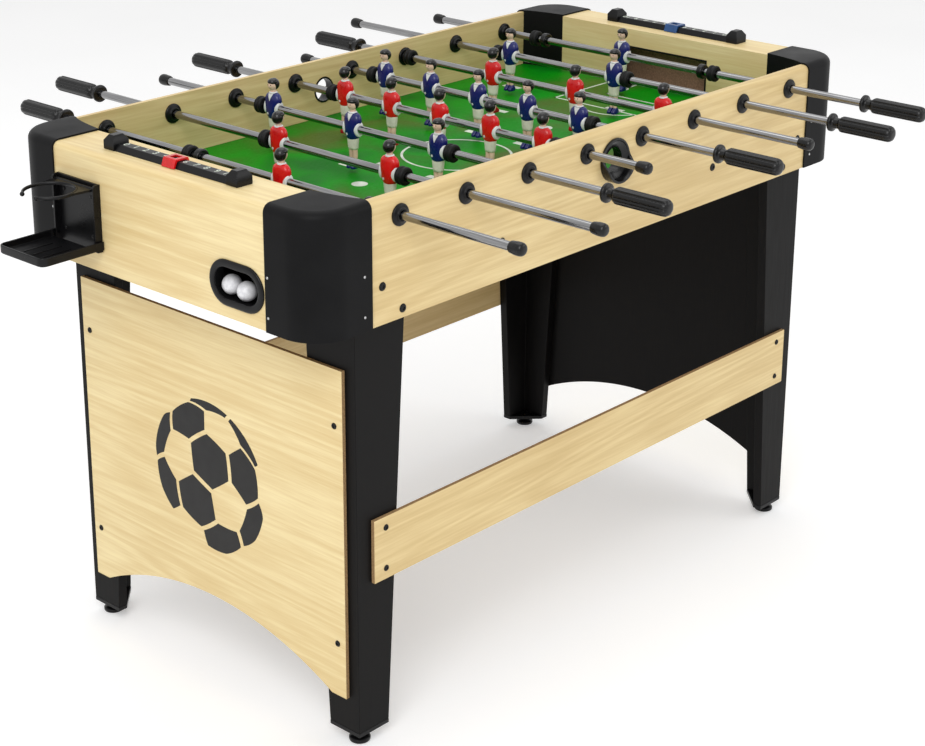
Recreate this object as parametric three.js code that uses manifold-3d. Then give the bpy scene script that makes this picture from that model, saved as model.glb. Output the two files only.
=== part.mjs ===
// A table football (foosball) table: cabinet, playing field, eight rods with men and handles, and legs.
// Millimetres, +Z up. The origin is on the floor under the middle of the table.
// The long sides are front (-Y) and back (+Y). The short ends are left (-X) and right (+X).
import * as THREE from "three";
import { mergeVertices } from "three/addons/utils/BufferGeometryUtils.js";
import Module from "manifold-3d";

const wasm = await Module();
wasm.setup();

// ---------------------------------------------------------------- driving sizes

const clearance = 0.3; // between two pieces that touch on the real table

// Cabinet
const tableLength = 1180; // over the corner caps, along X
const tableWidth = 610; // over the corner caps, along Y
const tableHeight = 783; // floor to the top of the corner caps
const apronHeight = 170; // corner cap, top to bottom
const boardThickness = 15; // side panels and the outer and top boards of an end rail
const goalWallThickness = 12;
const endRailWidth = 78; // outer face of an end to the playing side of its goal wall
const grooveDepth = 4; // the field's edge sits this deep in the boards around it

// Corner caps
const capWall = 2.5;
const capCornerRound = 56; // the upright outer corner, seen from above
const capEdgeRound = 12; // the top outer edge
const capAlongSide = 99; // how far a cap reaches along the side, from the table's end
const capAlongEnd = 92; // how far a cap reaches along the end, from the table's side

// Playing field
const fieldThickness = 6;
const fieldDrop = 97; // from the cap's top down to the playing surface
const goalWidth = 186;
const goalHeight = 63;

// Legs, lower end panels and stretchers
const legInset = 83; // from the table's end to the leg's outer face
const legBoard = 15;
const legWidthBottom = 57;
const legWidthTop = 96;
const footPlateThickness = 6;
const footPadRadius = 15;
const footPadHeight = 9;
const footPadIn = 19; // from the leg's outer faces to the pad's middle
const footStemRadius = 5;
const footStemLength = 8;
const lowerPanelThickness = 6;
const lowerPanelInset = 18; // from the leg's outer corner to the panel's edge
const lowerPanelBottom = 73;
const lowerPanelTop = 552;
const archStub = 28; // the flat foot at each end of the arch
const archRise = 59;
const stretcherThickness = 6;
const stretcherHeight = 92;
const stretcherBottom = 244;
const stretcherInset = 26; // from the leg's outer face to the stretcher's end

// Fasteners, each with a low round head
const headHeight = 1.6;
const boltHeadRadius = 6;
const screwHeadRadius = 4.5;
const upperBoltIn = 36; // from the leg's outer face, above the lower bolt
const upperBoltRise = 52; // from the apron's lower edge
const lowerBoltIn = 73;
const lowerBoltRise = 13;
const cleatBoltPlace = 241; // along X, holding the cleat under the field
const cleatBoltDrop = 12; // below the field's underside
const panelScrewIn = 15; // from the lower end panel's upright edges
const panelScrewTopDrop = 80;
const panelScrewBottomRise = 80;
const stretcherScrewIn = 22; // from the stretcher's end
const stretcherScrewPitch = 60;

// Rods and what they carry
const rodCount = 8;
const firstRodIn = 71; // from a goal wall to the nearest rod
const rodRadius = 6;
const rodBore = 4.8; // inner radius of the tube
const rodDrop = 30; // from the cap's top down to the rods
const bearingRadius = 15;
const bearingProud = 6; // how far a bearing's flange stands off the board
const bumperRadius = 13;
const bumperLength = 14;
const collarRadius = 12;
const collarLength = 10;
const handleCollarRadius = 13.5;
const handleCollarLength = 5;
const handleNeckRadius = 8;
const handleNeckLength = 14;
const gripRadius = 12;
const gripLength = 88;
const gripFlutes = 8;
const gripFluteDepth = 1.4;
const handleSocketDepth = 60; // how far the rod's end reaches into the handle
const endCapRadius = 9;
const endCapLength = 22;
const endCapWall = 3;

// One man, from the rod's axis
const headRadius = 9.5;
const headTop = 46;
const chestWidth = 30;
const waistWidth = 22;
const chestDepth = 17;
const shoulderHeight = 24;
const hipDrop = 9;
const shortsDrop = 27;
const shortsDepth = 13;
const legsWidth = 16;
const legsDepth = 9;
const ankleDrop = 50;
const soleDrop = 60;
const shoeWidth = 17;
const shoeToe = 9.5;
const shoeHeel = 7.5;

// Ball ways
const ballRadius = 15.5;
const returnCapGap = 3.4; // from the corner cap to the ball return's rim
const returnDrop = 122; // from the cap's top down to the ball return's middle
const returnHalfStraight = 20;
const returnMouthRadius = 21.6;
const returnRimWidth = 10;
const returnRimProud = 3.5;
const returnWall = 2.5;
const chuteHigh = 38; // how far the chute's upper end lies above its lower end
const entryDrop = 52; // from the cap's top down to the ball entry's middle
const entryRimRadius = 32;
const entryRimProud = 3;
const entryTubeRadius = 20.7;
const entryWall = 2.5;
const entryLip = 15; // how far the scoop stands off the side panel
const entryLipWall = 4;

// Score rails
const scoreLength = 270;
const scoreWidth = 24;
const scoreTopWidth = 15;
const scoreHeight = 9;
const scoreBlockLength = 22;
const scoreBlockWidth = 27;
const scoreBlockHeight = 20;
const sliderLength = 25;
const sliderWall = 3;

// Cup holders
const cupCapGap = 7.5; // from the corner cap to the cup holder's plate
const cupPlateWidth = 91;
const cupPlateHeight = 96;
const cupPlateTopDrop = 44; // from the cap's top down to the plate's top
const cupPlateThickness = 3;
const cupFlangeDepth = 12;
const cupFlangeThickness = 3.5;
const cupFlangeRound = 5;
const ringPivotOut = 7.5; // from the end's outer face to the ring's hinge
const ringPivotDrop = 7; // from the plate's top down to the ring's hinge
const ringInner = 34;
const ringBand = 4;
const ringBandHeight = 5;
const ringReach = 80; // from the ring's hinge to its outermost point
const ringGapHalfAngle = 0.4; // radians, half the opening at the front of the ring
const trayPivotOut = 7.5;
const trayPivotRise = 12; // from the plate's bottom up to the tray's hinge
const trayHingeRise = 8; // from the tray's underside up to its hinge
const trayRunning = 1; // between the bracket's flanges and the tray's floor
const traySize = 92; // out from its near edge
const trayWidth = 99;
const trayHeight = 12;
const trayFloor = 2.5;
const trayRim = 3;
const trayCorner = 10;
const pinRadius = 2;

// ---------------------------------------------------------------- sizes that follow

const halfLength = tableLength / 2;
const halfWidth = tableWidth / 2;
const boardInset = capWall + clearance; // the boards lie inside the caps' skin
const apronBottom = tableHeight - apronHeight;
const boardTop = tableHeight - boardInset;
const endFace = halfLength - boardInset; // outer face of an end rail
const sideFace = halfWidth - boardInset; // outer face of a side panel
const sideInner = sideFace - boardThickness;
const endBoardInner = endFace - boardThickness;
const goalWallInner = endFace - endRailWidth;
const goalWallOuter = goalWallInner + goalWallThickness;
const fieldTop = tableHeight - fieldDrop;
const fieldBottom = fieldTop - fieldThickness;
const rodHeight = tableHeight - rodDrop;
const rodSpacing = (2 * (goalWallInner - firstRodIn)) / (rodCount - 1);
const capSideStart = halfLength - capAlongSide;
const capEndStart = halfWidth - capAlongEnd;
const returnRimRadius = returnMouthRadius + returnRimWidth;
const returnOffset = capEndStart - returnCapGap - returnHalfStraight - returnRimRadius;
const cupOffset = capEndStart - cupCapGap - cupPlateWidth / 2;
const bearingFace = sideInner - bearingProud; // a bumper meets the bearing here
const legFaceX = halfLength - legInset;
const legFaceY = sideInner - clearance;
const legTop = fieldBottom - clearance;
const footTop = footPadHeight + footStemLength + footPlateThickness;
const legBottom = footTop + clearance;
const axisBore = rodRadius + 0.35; // running fit of a rod in its bearings and rings
const socketBore = rodRadius + clearance;
const rodSegments = 16;

// Each line-up's men, stop collars, bumpers, handle and plain end, as distances from the rod's middle.
const goalie = { men: [0], collars: 164, bumper: 186, handleEnd: 466, plainEnd: 421 };
const defence = { men: [-109.4, 109.4], bumper: 134.9, handleEnd: 515, plainEnd: 478 };
const midfield = { men: [-198.4, -99.2, 0, 99.2, 198.4], bumper: 223.9, handleEnd: 449, plainEnd: 386 };
const attack = { men: [-168.9, 0, 168.9], bumper: 194.4, handleEnd: 469, plainEnd: 428 };
// The rods from the left end. Each rests towards the front (-1) or the back (1), and stopGap is how far it is
// from its stop there.
const rods = [
  { team: "red", line: goalie, towards: -1, stopGap: 2.9 },
  { team: "red", line: defence, towards: -1, stopGap: 85 },
  { team: "blue", line: attack, towards: 1, stopGap: 47 },
  { team: "red", line: midfield, towards: -1, stopGap: 26 },
  { team: "blue", line: midfield, towards: 1, stopGap: 38 },
  { team: "red", line: attack, towards: -1, stopGap: 2.5, looseBumper: true },
  { team: "blue", line: defence, towards: 1, stopGap: 85 },
  { team: "blue", line: goalie, towards: 1, stopGap: 60.9 },
];
/** How far a rod slides from its middle place until a bumper meets its bearing. */
const travel = (line) => bearingFace - clearance - bumperLength / 2 - line.bumper;
const rodPlace = (index) => (index - (rodCount - 1) / 2) * rodSpacing;

// ---------------------------------------------------------------- materials

const material = (color, roughness, metalness = 0) =>
  new THREE.MeshStandardMaterial({ color, roughness, metalness });
const beech = material(0xe6d3a3, 0.55);
const fieldGreen = material(0x1f9a2c, 0.5);
const blackBoard = material(0x17181a, 0.6);
const blackPlastic = material(0x202124, 0.5);
const rubber = material(0x1b1c1e, 0.85);
const steel = material(0xc9ccd0, 0.25, 1);
const gloss = material(0x101113, 0.25);
const redPlastic = material(0xd01418, 0.35);
const bluePlastic = material(0x1c3f9a, 0.35);

// ---------------------------------------------------------------- solids

/** A closed three.js geometry as a solid that can be joined and cut. */
function solid(geometry) {
  const bare = geometry.index ? geometry.toNonIndexed() : geometry.clone();
  bare.deleteAttribute("normal");
  bare.deleteAttribute("uv");
  const merged = mergeVertices(bare, 1e-4);
  const corners = merged.index.array;
  const kept = [];
  for (let i = 0; i < corners.length; i += 3) {
    const [a, b, c] = [corners[i], corners[i + 1], corners[i + 2]];
    if (a !== b && b !== c && c !== a) kept.push(a, b, c);
  }
  const vertProperties = new Float32Array(merged.attributes.position.array);
  const triVerts = new Uint32Array(kept);
  return new wasm.Manifold(new wasm.Mesh({ numProp: 3, vertProperties, triVerts }));
}

/** The solid's faces as a geometry for a mesh. */
function geometryOf(body) {
  const { vertProperties, triVerts } = body.getMesh();
  const geometry = new THREE.BufferGeometry();
  geometry.setAttribute("position", new THREE.BufferAttribute(vertProperties, 3));
  geometry.setIndex(new THREE.BufferAttribute(triVerts, 1));
  geometry.computeVertexNormals();
  return geometry;
}

const joined = (bodies) => bodies.reduce((all, body) => all.add(body));
const cut = (body, tools) => tools.reduce((left, tool) => left.subtract(tool), body);

/** A block between two opposite corners. */
function block([x0, x1], [y0, y1], [z0, z1]) {
  const geometry = new THREE.BoxGeometry(x1 - x0, y1 - y0, z1 - z0);
  return solid(geometry.translate((x0 + x1) / 2, (y0 + y1) / 2, (z0 + z1) / 2));
}

const points = (outline) => outline.map(([u, v]) => new THREE.Vector2(u, v));

// An extrusion grows along +Z from its outline. These matrices turn it so that it grows along X, Y or Z, and
// the outline's coordinates are then Y and Z, X and Z, or X and Y. Along Y it grows backwards, from the end.
const turns = {
  x: (from) => new THREE.Matrix4().set(0, 0, 1, from, 1, 0, 0, 0, 0, 1, 0, 0, 0, 0, 0, 1),
  y: (from, to) => new THREE.Matrix4().set(1, 0, 0, 0, 0, 0, -1, to, 0, 1, 0, 0, 0, 0, 0, 1),
  z: (from) => new THREE.Matrix4().makeTranslation(0, 0, from),
};

/** A flat outline, as a list of points, extruded along an axis. */
function prism(outline, axis, from, to) {
  const shape = new THREE.Shape(points(outline));
  const geometry = new THREE.ExtrudeGeometry(shape, { depth: to - from, bevelEnabled: false });
  return solid(geometry.applyMatrix4(turns[axis](from, to)));
}

/** A turned piece: a profile of [radius, distance along Y] points, wound upwards on its outer side. */
function turned(profile, segments = rodSegments) {
  return solid(new THREE.LatheGeometry(points(profile), segments));
}

/** A ring or tube on the Y axis. */
function ring(inner, outer, from, to, segments = rodSegments) {
  return turned([[inner, from], [outer, from], [outer, to], [inner, to], [inner, from]], segments);
}

/** A round bar on the Y axis. */
function bar(radius, from, to, segments = rodSegments) {
  return turned([[0, from], [radius, from], [radius, to], [0, to]], segments);
}

/** Points on an arc about (x, y), from one angle to another. */
function arc(x, y, radius, from, to, steps) {
  return Array.from({ length: steps + 1 }, (_, i) => {
    const angle = from + ((to - from) * i) / steps;
    return [x + radius * Math.cos(angle), y + radius * Math.sin(angle)];
  });
}

/** The low round heads of the bolts or screws at the given places, standing off the face y, towards -Y. */
function heads(radius, face, places) {
  const head = bar(radius, face - headHeight, face + headHeight, 8);
  return places.map(([x, z]) => head.translate([x, 0, z]));
}

/** The outline of a slot: two half circles joined by straight sides. */
function slot(halfStraight, radius, centreX, centreY, steps = 8) {
  return [
    ...arc(centreX + halfStraight, centreY, radius, -Math.PI / 2, Math.PI / 2, steps),
    ...arc(centreX - halfStraight, centreY, radius, Math.PI / 2, (3 * Math.PI) / 2, steps),
  ];
}

/** The cabinet's outer form drawn in by an inset: round upright corners and a round top edge. */
function cabinetForm(inset) {
  const edge = capEdgeRound - inset;
  const x = halfLength - inset - edge;
  const y = halfWidth - inset - edge;
  const corner = capCornerRound - inset - edge;
  const quarter = Math.PI / 2;
  const outline = [0, 1, 2, 3].flatMap((k) => {
    const [sx, sy] = [[1, 1], [-1, 1], [-1, -1], [1, -1]][k];
    return arc(sx * (x - corner), sy * (y - corner), corner, k * quarter, (k + 1) * quarter, 8);
  });
  const bottom = apronBottom - edge - 1;
  const bevel = { bevelEnabled: true, bevelSize: edge, bevelThickness: edge, bevelSegments: 4 };
  const options = { ...bevel, depth: tableHeight - inset - edge - bottom };
  const geometry = new THREE.ExtrudeGeometry(new THREE.Shape(points(outline)), options);
  return solid(geometry.translate(0, 0, bottom));
}

// ---------------------------------------------------------------- the scene graph

const table = new THREE.Group();

/** Adds a solid as one named mesh. */
function place(name, body, finish, group = table) {
  const mesh = new THREE.Mesh(geometryOf(body), finish);
  mesh.name = name;
  group.add(mesh);
  return mesh;
}

/** Adds the same solid twice: at the left or front, and turned half round at the right or back. */
function placePair(names, body, finish) {
  place(names[0], body, finish);
  place(names[1], body, finish).rotation.z = Math.PI;
}

// ---------------------------------------------------------------- cabinet

const boardForm = cabinetForm(boardInset);
const capForm = cabinetForm(0);
const capHollow = cabinetForm(capWall);
const entryHeight = tableHeight - entryDrop;

/** The front side panel with its bearings, its bolts, the field's groove and the ball entry's hole. */
function sidePanel() {
  const reach = endBoardInner - clearance;
  const whole = block([-reach, reach], [-sideFace, -sideInner], [apronBottom, boardTop]);
  const board = whole.intersect(boardForm);
  const grooveEnd = goalWallInner + grooveDepth;
  const groove = block(
    [-grooveEnd, grooveEnd],
    [-sideInner - grooveDepth, -sideInner + 1],
    [fieldBottom - clearance, fieldTop + clearance],
  );
  const entry = bar(entryTubeRadius + clearance, -sideFace - 1, -sideInner + 1);
  const hole = entry.translate([0, 0, entryHeight]);
  const places = rods.map((_, i) => [rodPlace(i), 0, rodHeight]);
  const [outer, inner] = [-sideFace - bearingProud, -sideInner + bearingProud];
  const bearing = bar(bearingRadius, outer, inner);
  const bore = bar(axisBore, outer - 1, inner + 1);
  const bolts = [-1, 1].flatMap((s) => [
    [s * (legFaceX - upperBoltIn), apronBottom + upperBoltRise],
    [s * (legFaceX - lowerBoltIn), apronBottom + lowerBoltRise],
    [s * cleatBoltPlace, fieldBottom - cleatBoltDrop],
  ]);
  const fittings = [...places.map((p) => bearing.translate(p)), ...heads(boltHeadRadius, -sideFace, bolts)];
  return cut(joined([cut(board, [groove, hole]), ...fittings]), places.map((p) => bore.translate(p)));
}

/** The left end rail: outer board, top board and goal wall glued into one box, open below. */
function endRail() {
  const edge = capEdgeRound - boardInset;
  const boardBottom = boardTop - boardThickness;
  const section = [
    [-endFace, apronBottom],
    [-endBoardInner, apronBottom],
    [-endBoardInner, boardBottom],
    [-goalWallOuter, boardBottom],
    [-goalWallOuter, apronBottom],
    [-goalWallInner, apronBottom],
    [-goalWallInner, boardTop],
    ...arc(-endFace + edge, boardTop - edge, edge, Math.PI / 2, Math.PI, 4),
  ];
  const across = sideInner - clearance;
  const box = prism(section, "y", -across, across).intersect(boardForm);
  const goal = block(
    [-goalWallOuter - 1, -goalWallInner + 1],
    [-goalWidth / 2, goalWidth / 2],
    [fieldTop, fieldTop + goalHeight],
  );
  const groove = block(
    [-goalWallInner - grooveDepth, -goalWallInner + 1],
    [-across - 1, across + 1],
    [fieldBottom - clearance, fieldTop + clearance],
  );
  const mouth = prism(
    slot(returnHalfStraight, returnSleeveRadius + clearance, -returnOffset, returnHeight),
    "x",
    -endFace - 1,
    -endBoardInner + 1,
  );
  return cut(box, [goal, groove, mouth]);
}

/** One corner cap: a thin skin over the boards' corner, and a wedge that fills the corner of the field. */
function cornerCap(sx, sy) {
  const railEdge = [goalWallInner - clearance, capEndStart];
  const sideEdge = [capSideStart, sideInner - clearance];
  const middle = [railEdge[0] - 7, sideEdge[1] - 18];
  const curve = new THREE.QuadraticBezierCurve(...points([railEdge, middle, sideEdge]));
  const inner = curve.getPoints(6).map((p) => [p.x, p.y]);
  const outside = 20; // past the cabinet's form, so that the form alone shapes the outer faces
  const mirrored = (outline) => outline.map(([x, y]) => [sx * x, sy * y]);
  const covered = mirrored([
    ...inner,
    [capSideStart, halfWidth + outside],
    [halfLength + outside, halfWidth + outside],
    [halfLength + outside, capEndStart],
  ]);
  const shell = capForm.subtract(capHollow);
  const skin = shell.intersect(prism(covered, "z", apronBottom, tableHeight + outside));
  const corner = mirrored([...inner, [railEdge[0], sideEdge[1]]]);
  const wedge = prism(corner, "z", fieldTop + clearance, tableHeight - capWall / 2);
  return skin.add(wedge);
}

const returnHeight = tableHeight - returnDrop;
const returnSleeveInner = returnMouthRadius + 3.4; // the rim's lip keeps the balls in the sleeve
const returnSleeveRadius = returnSleeveInner + returnWall;

/** The left ball return: a rim and sleeve through the end rail, and the chute from the goal down to it. */
function ballReturn() {
  const rimFace = endFace + returnRimProud;
  const oval = (radius) => slot(returnHalfStraight, radius, -returnOffset, returnHeight);
  const inwards = goalWallOuter + clearance;
  const outwards = endBoardInner - clearance;
  const floor = returnHeight - returnSleeveInner;
  const low = -returnOffset - returnHalfStraight - returnSleeveRadius;
  const high = goalWidth / 2 + returnWall;
  const levelEnd = -returnOffset + returnHalfStraight;
  const chuteTop = floor + chuteHigh + 6;
  const bed = [
    [low, floor - returnWall],
    [levelEnd, floor - returnWall],
    [high, floor + chuteHigh - returnWall],
    [high, chuteTop],
    [high - returnWall, chuteTop],
    [high - returnWall, floor + chuteHigh],
    [levelEnd, floor],
    [low + returnWall, floor],
    [low + returnWall, chuteTop],
    [low, chuteTop],
  ];
  const rim = prism(oval(returnRimRadius), "x", -rimFace, -endFace - clearance);
  const sleeve = prism(oval(returnSleeveRadius), "x", -endFace - clearance, -outwards + 1);
  const chute = prism(bed, "x", -outwards, -inwards);
  const hollow = prism(oval(returnSleeveInner), "x", -endFace - clearance, -outwards + 2);
  const mouth = prism(oval(returnMouthRadius), "x", -rimFace - 1, -endFace);
  return cut(joined([rim, sleeve, chute]), [hollow, mouth]);
}

/** The front ball entry: a funnel through the side panel with a scoop below its mouth. */
function ballEntry() {
  const outer = -sideFace - clearance;
  const rimFace = outer - entryRimProud;
  const lipFace = outer - entryLip;
  const tubeInner = entryTubeRadius - entryWall;
  const tubeEnd = -sideInner + 1;
  const funnel = turned(
    [
      [tubeInner, tubeEnd],
      [tubeInner, -sideFace],
      [entryRimRadius - entryLipWall, rimFace],
      [entryRimRadius, rimFace],
      [entryRimRadius, outer],
      [entryTubeRadius, outer],
      [entryTubeRadius, tubeEnd],
      [tubeInner, tubeEnd],
    ],
  );
  const cup = ring(entryRimRadius - entryLipWall, entryRimRadius, lipFace, rimFace + 1);
  const upper = entryRimRadius + 1;
  const upperHalf = block([-upper, upper], [lipFace - 1, rimFace], [-entryRimRadius * 0.2, upper]);
  return funnel.add(cup.subtract(upperHalf)).translate([0, 0, entryHeight]);
}

placePair(["side_panel_front", "side_panel_back"], sidePanel(), beech);
placePair(["end_rail_left", "end_rail_right"], endRail(), beech);
for (const [end, sx] of [["left", -1], ["right", 1]]) {
  for (const [side, sy] of [["front", -1], ["back", 1]]) {
    place(`corner_cap_${side}_${end}`, cornerCap(sx, sy), blackPlastic);
  }
}
placePair(["ball_return_left", "ball_return_right"], ballReturn(), gloss);
placePair(["ball_entry_front", "ball_entry_back"], ballEntry(), gloss);

const fieldEdge = grooveDepth - clearance;
place(
  "playfield",
  block(
    [-goalWallInner - fieldEdge, goalWallInner + fieldEdge],
    [-sideInner - fieldEdge, sideInner + fieldEdge],
    [fieldBottom, fieldTop],
  ),
  fieldGreen,
);

// ---------------------------------------------------------------- legs, lower panels, stretchers

/** One leg: two tapered boards glued in an L, with its outer corner away from the table's middle. */
function leg(sx, sy) {
  const tapered = (face, sign) => [
    [sign * face, legBottom],
    [sign * (face - legWidthBottom), legBottom],
    [sign * (face - legWidthTop), legTop],
    [sign * face, legTop],
  ];
  const span = (face, sign) => [sign * face, sign * (face - legBoard)].sort((a, b) => a - b);
  const alongSide = prism(tapered(legFaceX, sx), "y", ...span(legFaceY, sy));
  const alongEnd = prism(tapered(legFaceY, sy), "x", ...span(legFaceX, sx));
  return alongSide.add(alongEnd);
}

/** One foot: the plate under a leg, and a levelling pad on its threaded stem. */
function foot(sx, sy) {
  const half = legWidthBottom / 2;
  const offset = half - footPadIn;
  const plate = block([-half, half], [-half, half], [footTop - footPlateThickness, footTop]);
  const pad = turned([
    [0, 0],
    [footPadRadius - 2, 0],
    [footPadRadius, 2],
    [footPadRadius, footPadHeight - 3],
    [footStemRadius, footPadHeight],
    [footStemRadius, footTop - footPlateThickness / 2],
    [0, footTop - footPlateThickness / 2],
  ]);
  const standing = pad.rotate([90, 0, 0]).translate([sx * offset, sy * offset, 0]);
  return plate.add(standing).translate([sx * (legFaceX - half), sy * (legFaceY - half), 0]);
}

/** The left lower end panel, with an arch cut in its lower edge. */
function lowerPanel() {
  const half = legFaceY - lowerPanelInset;
  const archHalf = half - archStub;
  const archRadius = (archHalf ** 2 + archRise ** 2) / (2 * archRise);
  const archAngle = Math.asin(archHalf / archRadius);
  const archCentre = lowerPanelBottom + archRise - archRadius;
  const arch = arc(0, archCentre, archRadius, Math.PI / 2 + archAngle, Math.PI / 2 - archAngle, 20);
  const outline = [
    [-half, lowerPanelBottom],
    ...arch,
    [half, lowerPanelBottom],
    [half, lowerPanelTop],
    [-half, lowerPanelTop],
  ];
  const inner = -legFaceX - clearance;
  const outer = inner - lowerPanelThickness;
  const places = [-1, 1].flatMap((s) => [
    [s * (half - panelScrewIn), lowerPanelTop - panelScrewTopDrop],
    [s * (half - panelScrewIn), lowerPanelBottom + panelScrewBottomRise],
  ]);
  const screws = heads(screwHeadRadius, outer, places).map((head) => head.rotate([0, 0, -90]));
  return joined([prism(outline, "x", outer, inner), ...screws]);
}

/** The front stretcher. */
function stretcher() {
  const half = legFaceX - stretcherInset;
  const inner = -legFaceY - clearance;
  const outer = inner - stretcherThickness;
  const middle = stretcherBottom + stretcherHeight / 2;
  const board = block([-half, half], [outer, inner], [stretcherBottom, stretcherBottom + stretcherHeight]);
  const places = [-1, 1].flatMap((s) =>
    [-0.5, 0.5].map((t) => [s * (half - stretcherScrewIn), middle + t * stretcherScrewPitch]),
  );
  return joined([board, ...heads(screwHeadRadius, outer, places)]);
}

for (const [end, sx] of [["left", -1], ["right", 1]]) {
  for (const [side, sy] of [["front", -1], ["back", 1]]) {
    place(`leg_${side}_${end}`, leg(sx, sy), blackBoard);
    place(`foot_${side}_${end}`, foot(sx, sy), blackPlastic);
  }
}
placePair(["lower_panel_left", "lower_panel_right"], lowerPanel(), beech);
placePair(["stretcher_front", "stretcher_back"], stretcher(), beech);

// ---------------------------------------------------------------- score rails

const scorePlace = (endFace + goalWallInner) / 2;

/** A score strip's section, widened all round by a margin. */
function scoreSection(margin) {
  const base = boardTop + clearance;
  return [
    [-scorePlace - scoreWidth / 2 - margin, base],
    [-scorePlace + scoreWidth / 2 + margin, base],
    [-scorePlace + scoreTopWidth / 2 + margin, base + scoreHeight + margin],
    [-scorePlace - scoreTopWidth / 2 - margin, base + scoreHeight + margin],
  ];
}

/** The left score rail: a low strip between two roof-shaped end blocks. */
function scoreRail() {
  const base = boardTop + clearance;
  const end = scoreLength / 2;
  const slope = 6;
  const blockLength = [
    [end - scoreBlockLength, base],
    [end, base],
    [end, base + scoreBlockHeight * 0.6],
    [end - slope, base + scoreBlockHeight],
    [end - scoreBlockLength + slope, base + scoreBlockHeight],
    [end - scoreBlockLength, base + scoreBlockHeight * 0.6],
  ];
  const across = scoreBlockWidth / 2;
  const acrossSection = [
    [-across, base],
    [across, base],
    [across, base + scoreBlockHeight * 0.6],
    [across - slope, base + scoreBlockHeight],
    [slope - across, base + scoreBlockHeight],
    [-across, base + scoreBlockHeight * 0.6],
  ];
  const endBlock = prism(blockLength, "x", -scorePlace - across, -scorePlace + across).intersect(
    prism(acrossSection.map(([x, z]) => [x - scorePlace, z]), "y", 0, end + 1),
  );
  const strip = prism(scoreSection(0), "y", -end + 1, end - 1);
  return joined([strip, endBlock, endBlock.mirror([0, 1, 0])]);
}

/** The left score slider: a clip over the strip. */
function scoreSlider() {
  const half = sliderLength / 2;
  const shell = prism(scoreSection(clearance + sliderWall), "y", -half, half);
  const foot = boardTop + 2 * clearance;
  const below = block([-endFace, -goalWallInner], [-half - 1, half + 1], [boardTop - 5, foot]);
  return cut(shell, [prism(scoreSection(clearance), "y", -half - 1, half + 1), below]);
}

placePair(["score_rail_left", "score_rail_right"], scoreRail(), blackPlastic);
const slider = scoreSlider();
place("score_slider_left", slider, redPlastic);
place("score_slider_right", slider, bluePlastic).rotation.z = Math.PI;

// ---------------------------------------------------------------- cup holders

const cupPlateTop = tableHeight - cupPlateTopDrop;
const cupPlateBottom = cupPlateTop - cupPlateHeight;
const ringHinge = [-endFace - ringPivotOut, cupPlateTop - ringPivotDrop];
const trayHinge = [-endFace - trayPivotOut, cupPlateBottom + trayPivotRise];
const atCup = (body) => body.translate([0, cupOffset, 0]);

/** The left cup holder's bracket: a plate on the end rail, with a flange down each side for the hinges. */
function cupBracket() {
  const half = cupPlateWidth / 2;
  const back = -endFace - clearance;
  const plate = block([back - cupPlateThickness, back], [-half, half], [cupPlateBottom, cupPlateTop]);
  const round = cupFlangeRound;
  const side = [
    [back, cupPlateBottom],
    [back, cupPlateTop],
    ...arc(back - cupFlangeDepth + round, cupPlateTop - round, round, Math.PI / 2, Math.PI, 3),
    ...arc(back - cupFlangeDepth + round, cupPlateBottom + round, round, Math.PI, (3 * Math.PI) / 2, 3),
  ];
  const flange = prism(side, "y", half - cupFlangeThickness, half);
  const bore = bar(pinRadius + clearance, -half - 1, half + 1, 8);
  const bores = [ringHinge, trayHinge].map(([x, z]) => bore.translate([x, 0, z]));
  return atCup(cut(joined([plate, flange, flange.mirror([0, 1, 0])]), bores));
}

/** The left cup ring: a web from the hinge that opens into a ring with a gap at the front. */
function cupRing() {
  const outer = ringInner + ringBand;
  const centre = ringHinge[0] - (ringReach - outer);
  const webHalf = cupPlateWidth / 2 - cupFlangeThickness - clearance;
  const hub = ringHinge[0] + ringBandHeight / 2;
  const open = ringGapHalfAngle;
  const outline = [
    ...arc(centre, 0, ringInner, Math.PI + open, 3 * Math.PI - open, 20),
    ...arc(centre, 0, outer, Math.PI - open, Math.PI * 0.55, 8),
    [hub, webHalf],
    [hub, -webHalf],
    ...arc(centre, 0, outer, -Math.PI * 0.55, -Math.PI + open, 8),
  ];
  const thick = ringBandHeight / 2;
  const web = prism(outline, "z", ringHinge[1] - thick, ringHinge[1] + thick);
  const pin = bar(pinRadius, -cupPlateWidth / 2, cupPlateWidth / 2, 8);
  return atCup(web.add(pin.translate([ringHinge[0], 0, ringHinge[1]])));
}

/** The left cup tray: a shallow dish with cut-off front corners, hung on two arms beside the bracket. */
function cupTray() {
  const half = trayWidth / 2;
  const bottom = trayHinge[1] - trayHingeRise;
  const near = -endFace - clearance - cupFlangeDepth - trayRunning;
  const far = near - traySize;
  const dish = (margin, nearEdge) => [
    [nearEdge, -half + margin],
    [nearEdge, half - margin],
    [far + trayCorner, half - margin],
    [far + margin, half - trayCorner],
    [far + margin, -half + trayCorner],
    [far + trayCorner, -half + margin],
  ];
  const top = bottom + trayHeight;
  const body = prism(dish(0, near), "z", bottom, top);
  const hollow = prism(dish(trayRim, near + 1), "z", bottom + trayFloor, top + 1);
  const arm = block([near - 1, trayHinge[0] + trayHeight / 2], [half - trayRim, half], [bottom, top]);
  const pin = bar(pinRadius, cupPlateWidth / 2 - cupFlangeThickness, half - 1, 8)
    .translate([trayHinge[0], 0, trayHinge[1]]);
  const sides = [arm, pin];
  return atCup(joined([body.subtract(hollow), ...sides, ...sides.map((part) => part.mirror([0, 1, 0]))]));
}

placePair(["cup_bracket_left", "cup_bracket_right"], cupBracket(), blackPlastic);
placePair(["cup_ring_left", "cup_ring_right"], cupRing(), blackPlastic);
placePair(["cup_tray_left", "cup_tray_right"], cupTray(), blackPlastic);

// ---------------------------------------------------------------- rods

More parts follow.
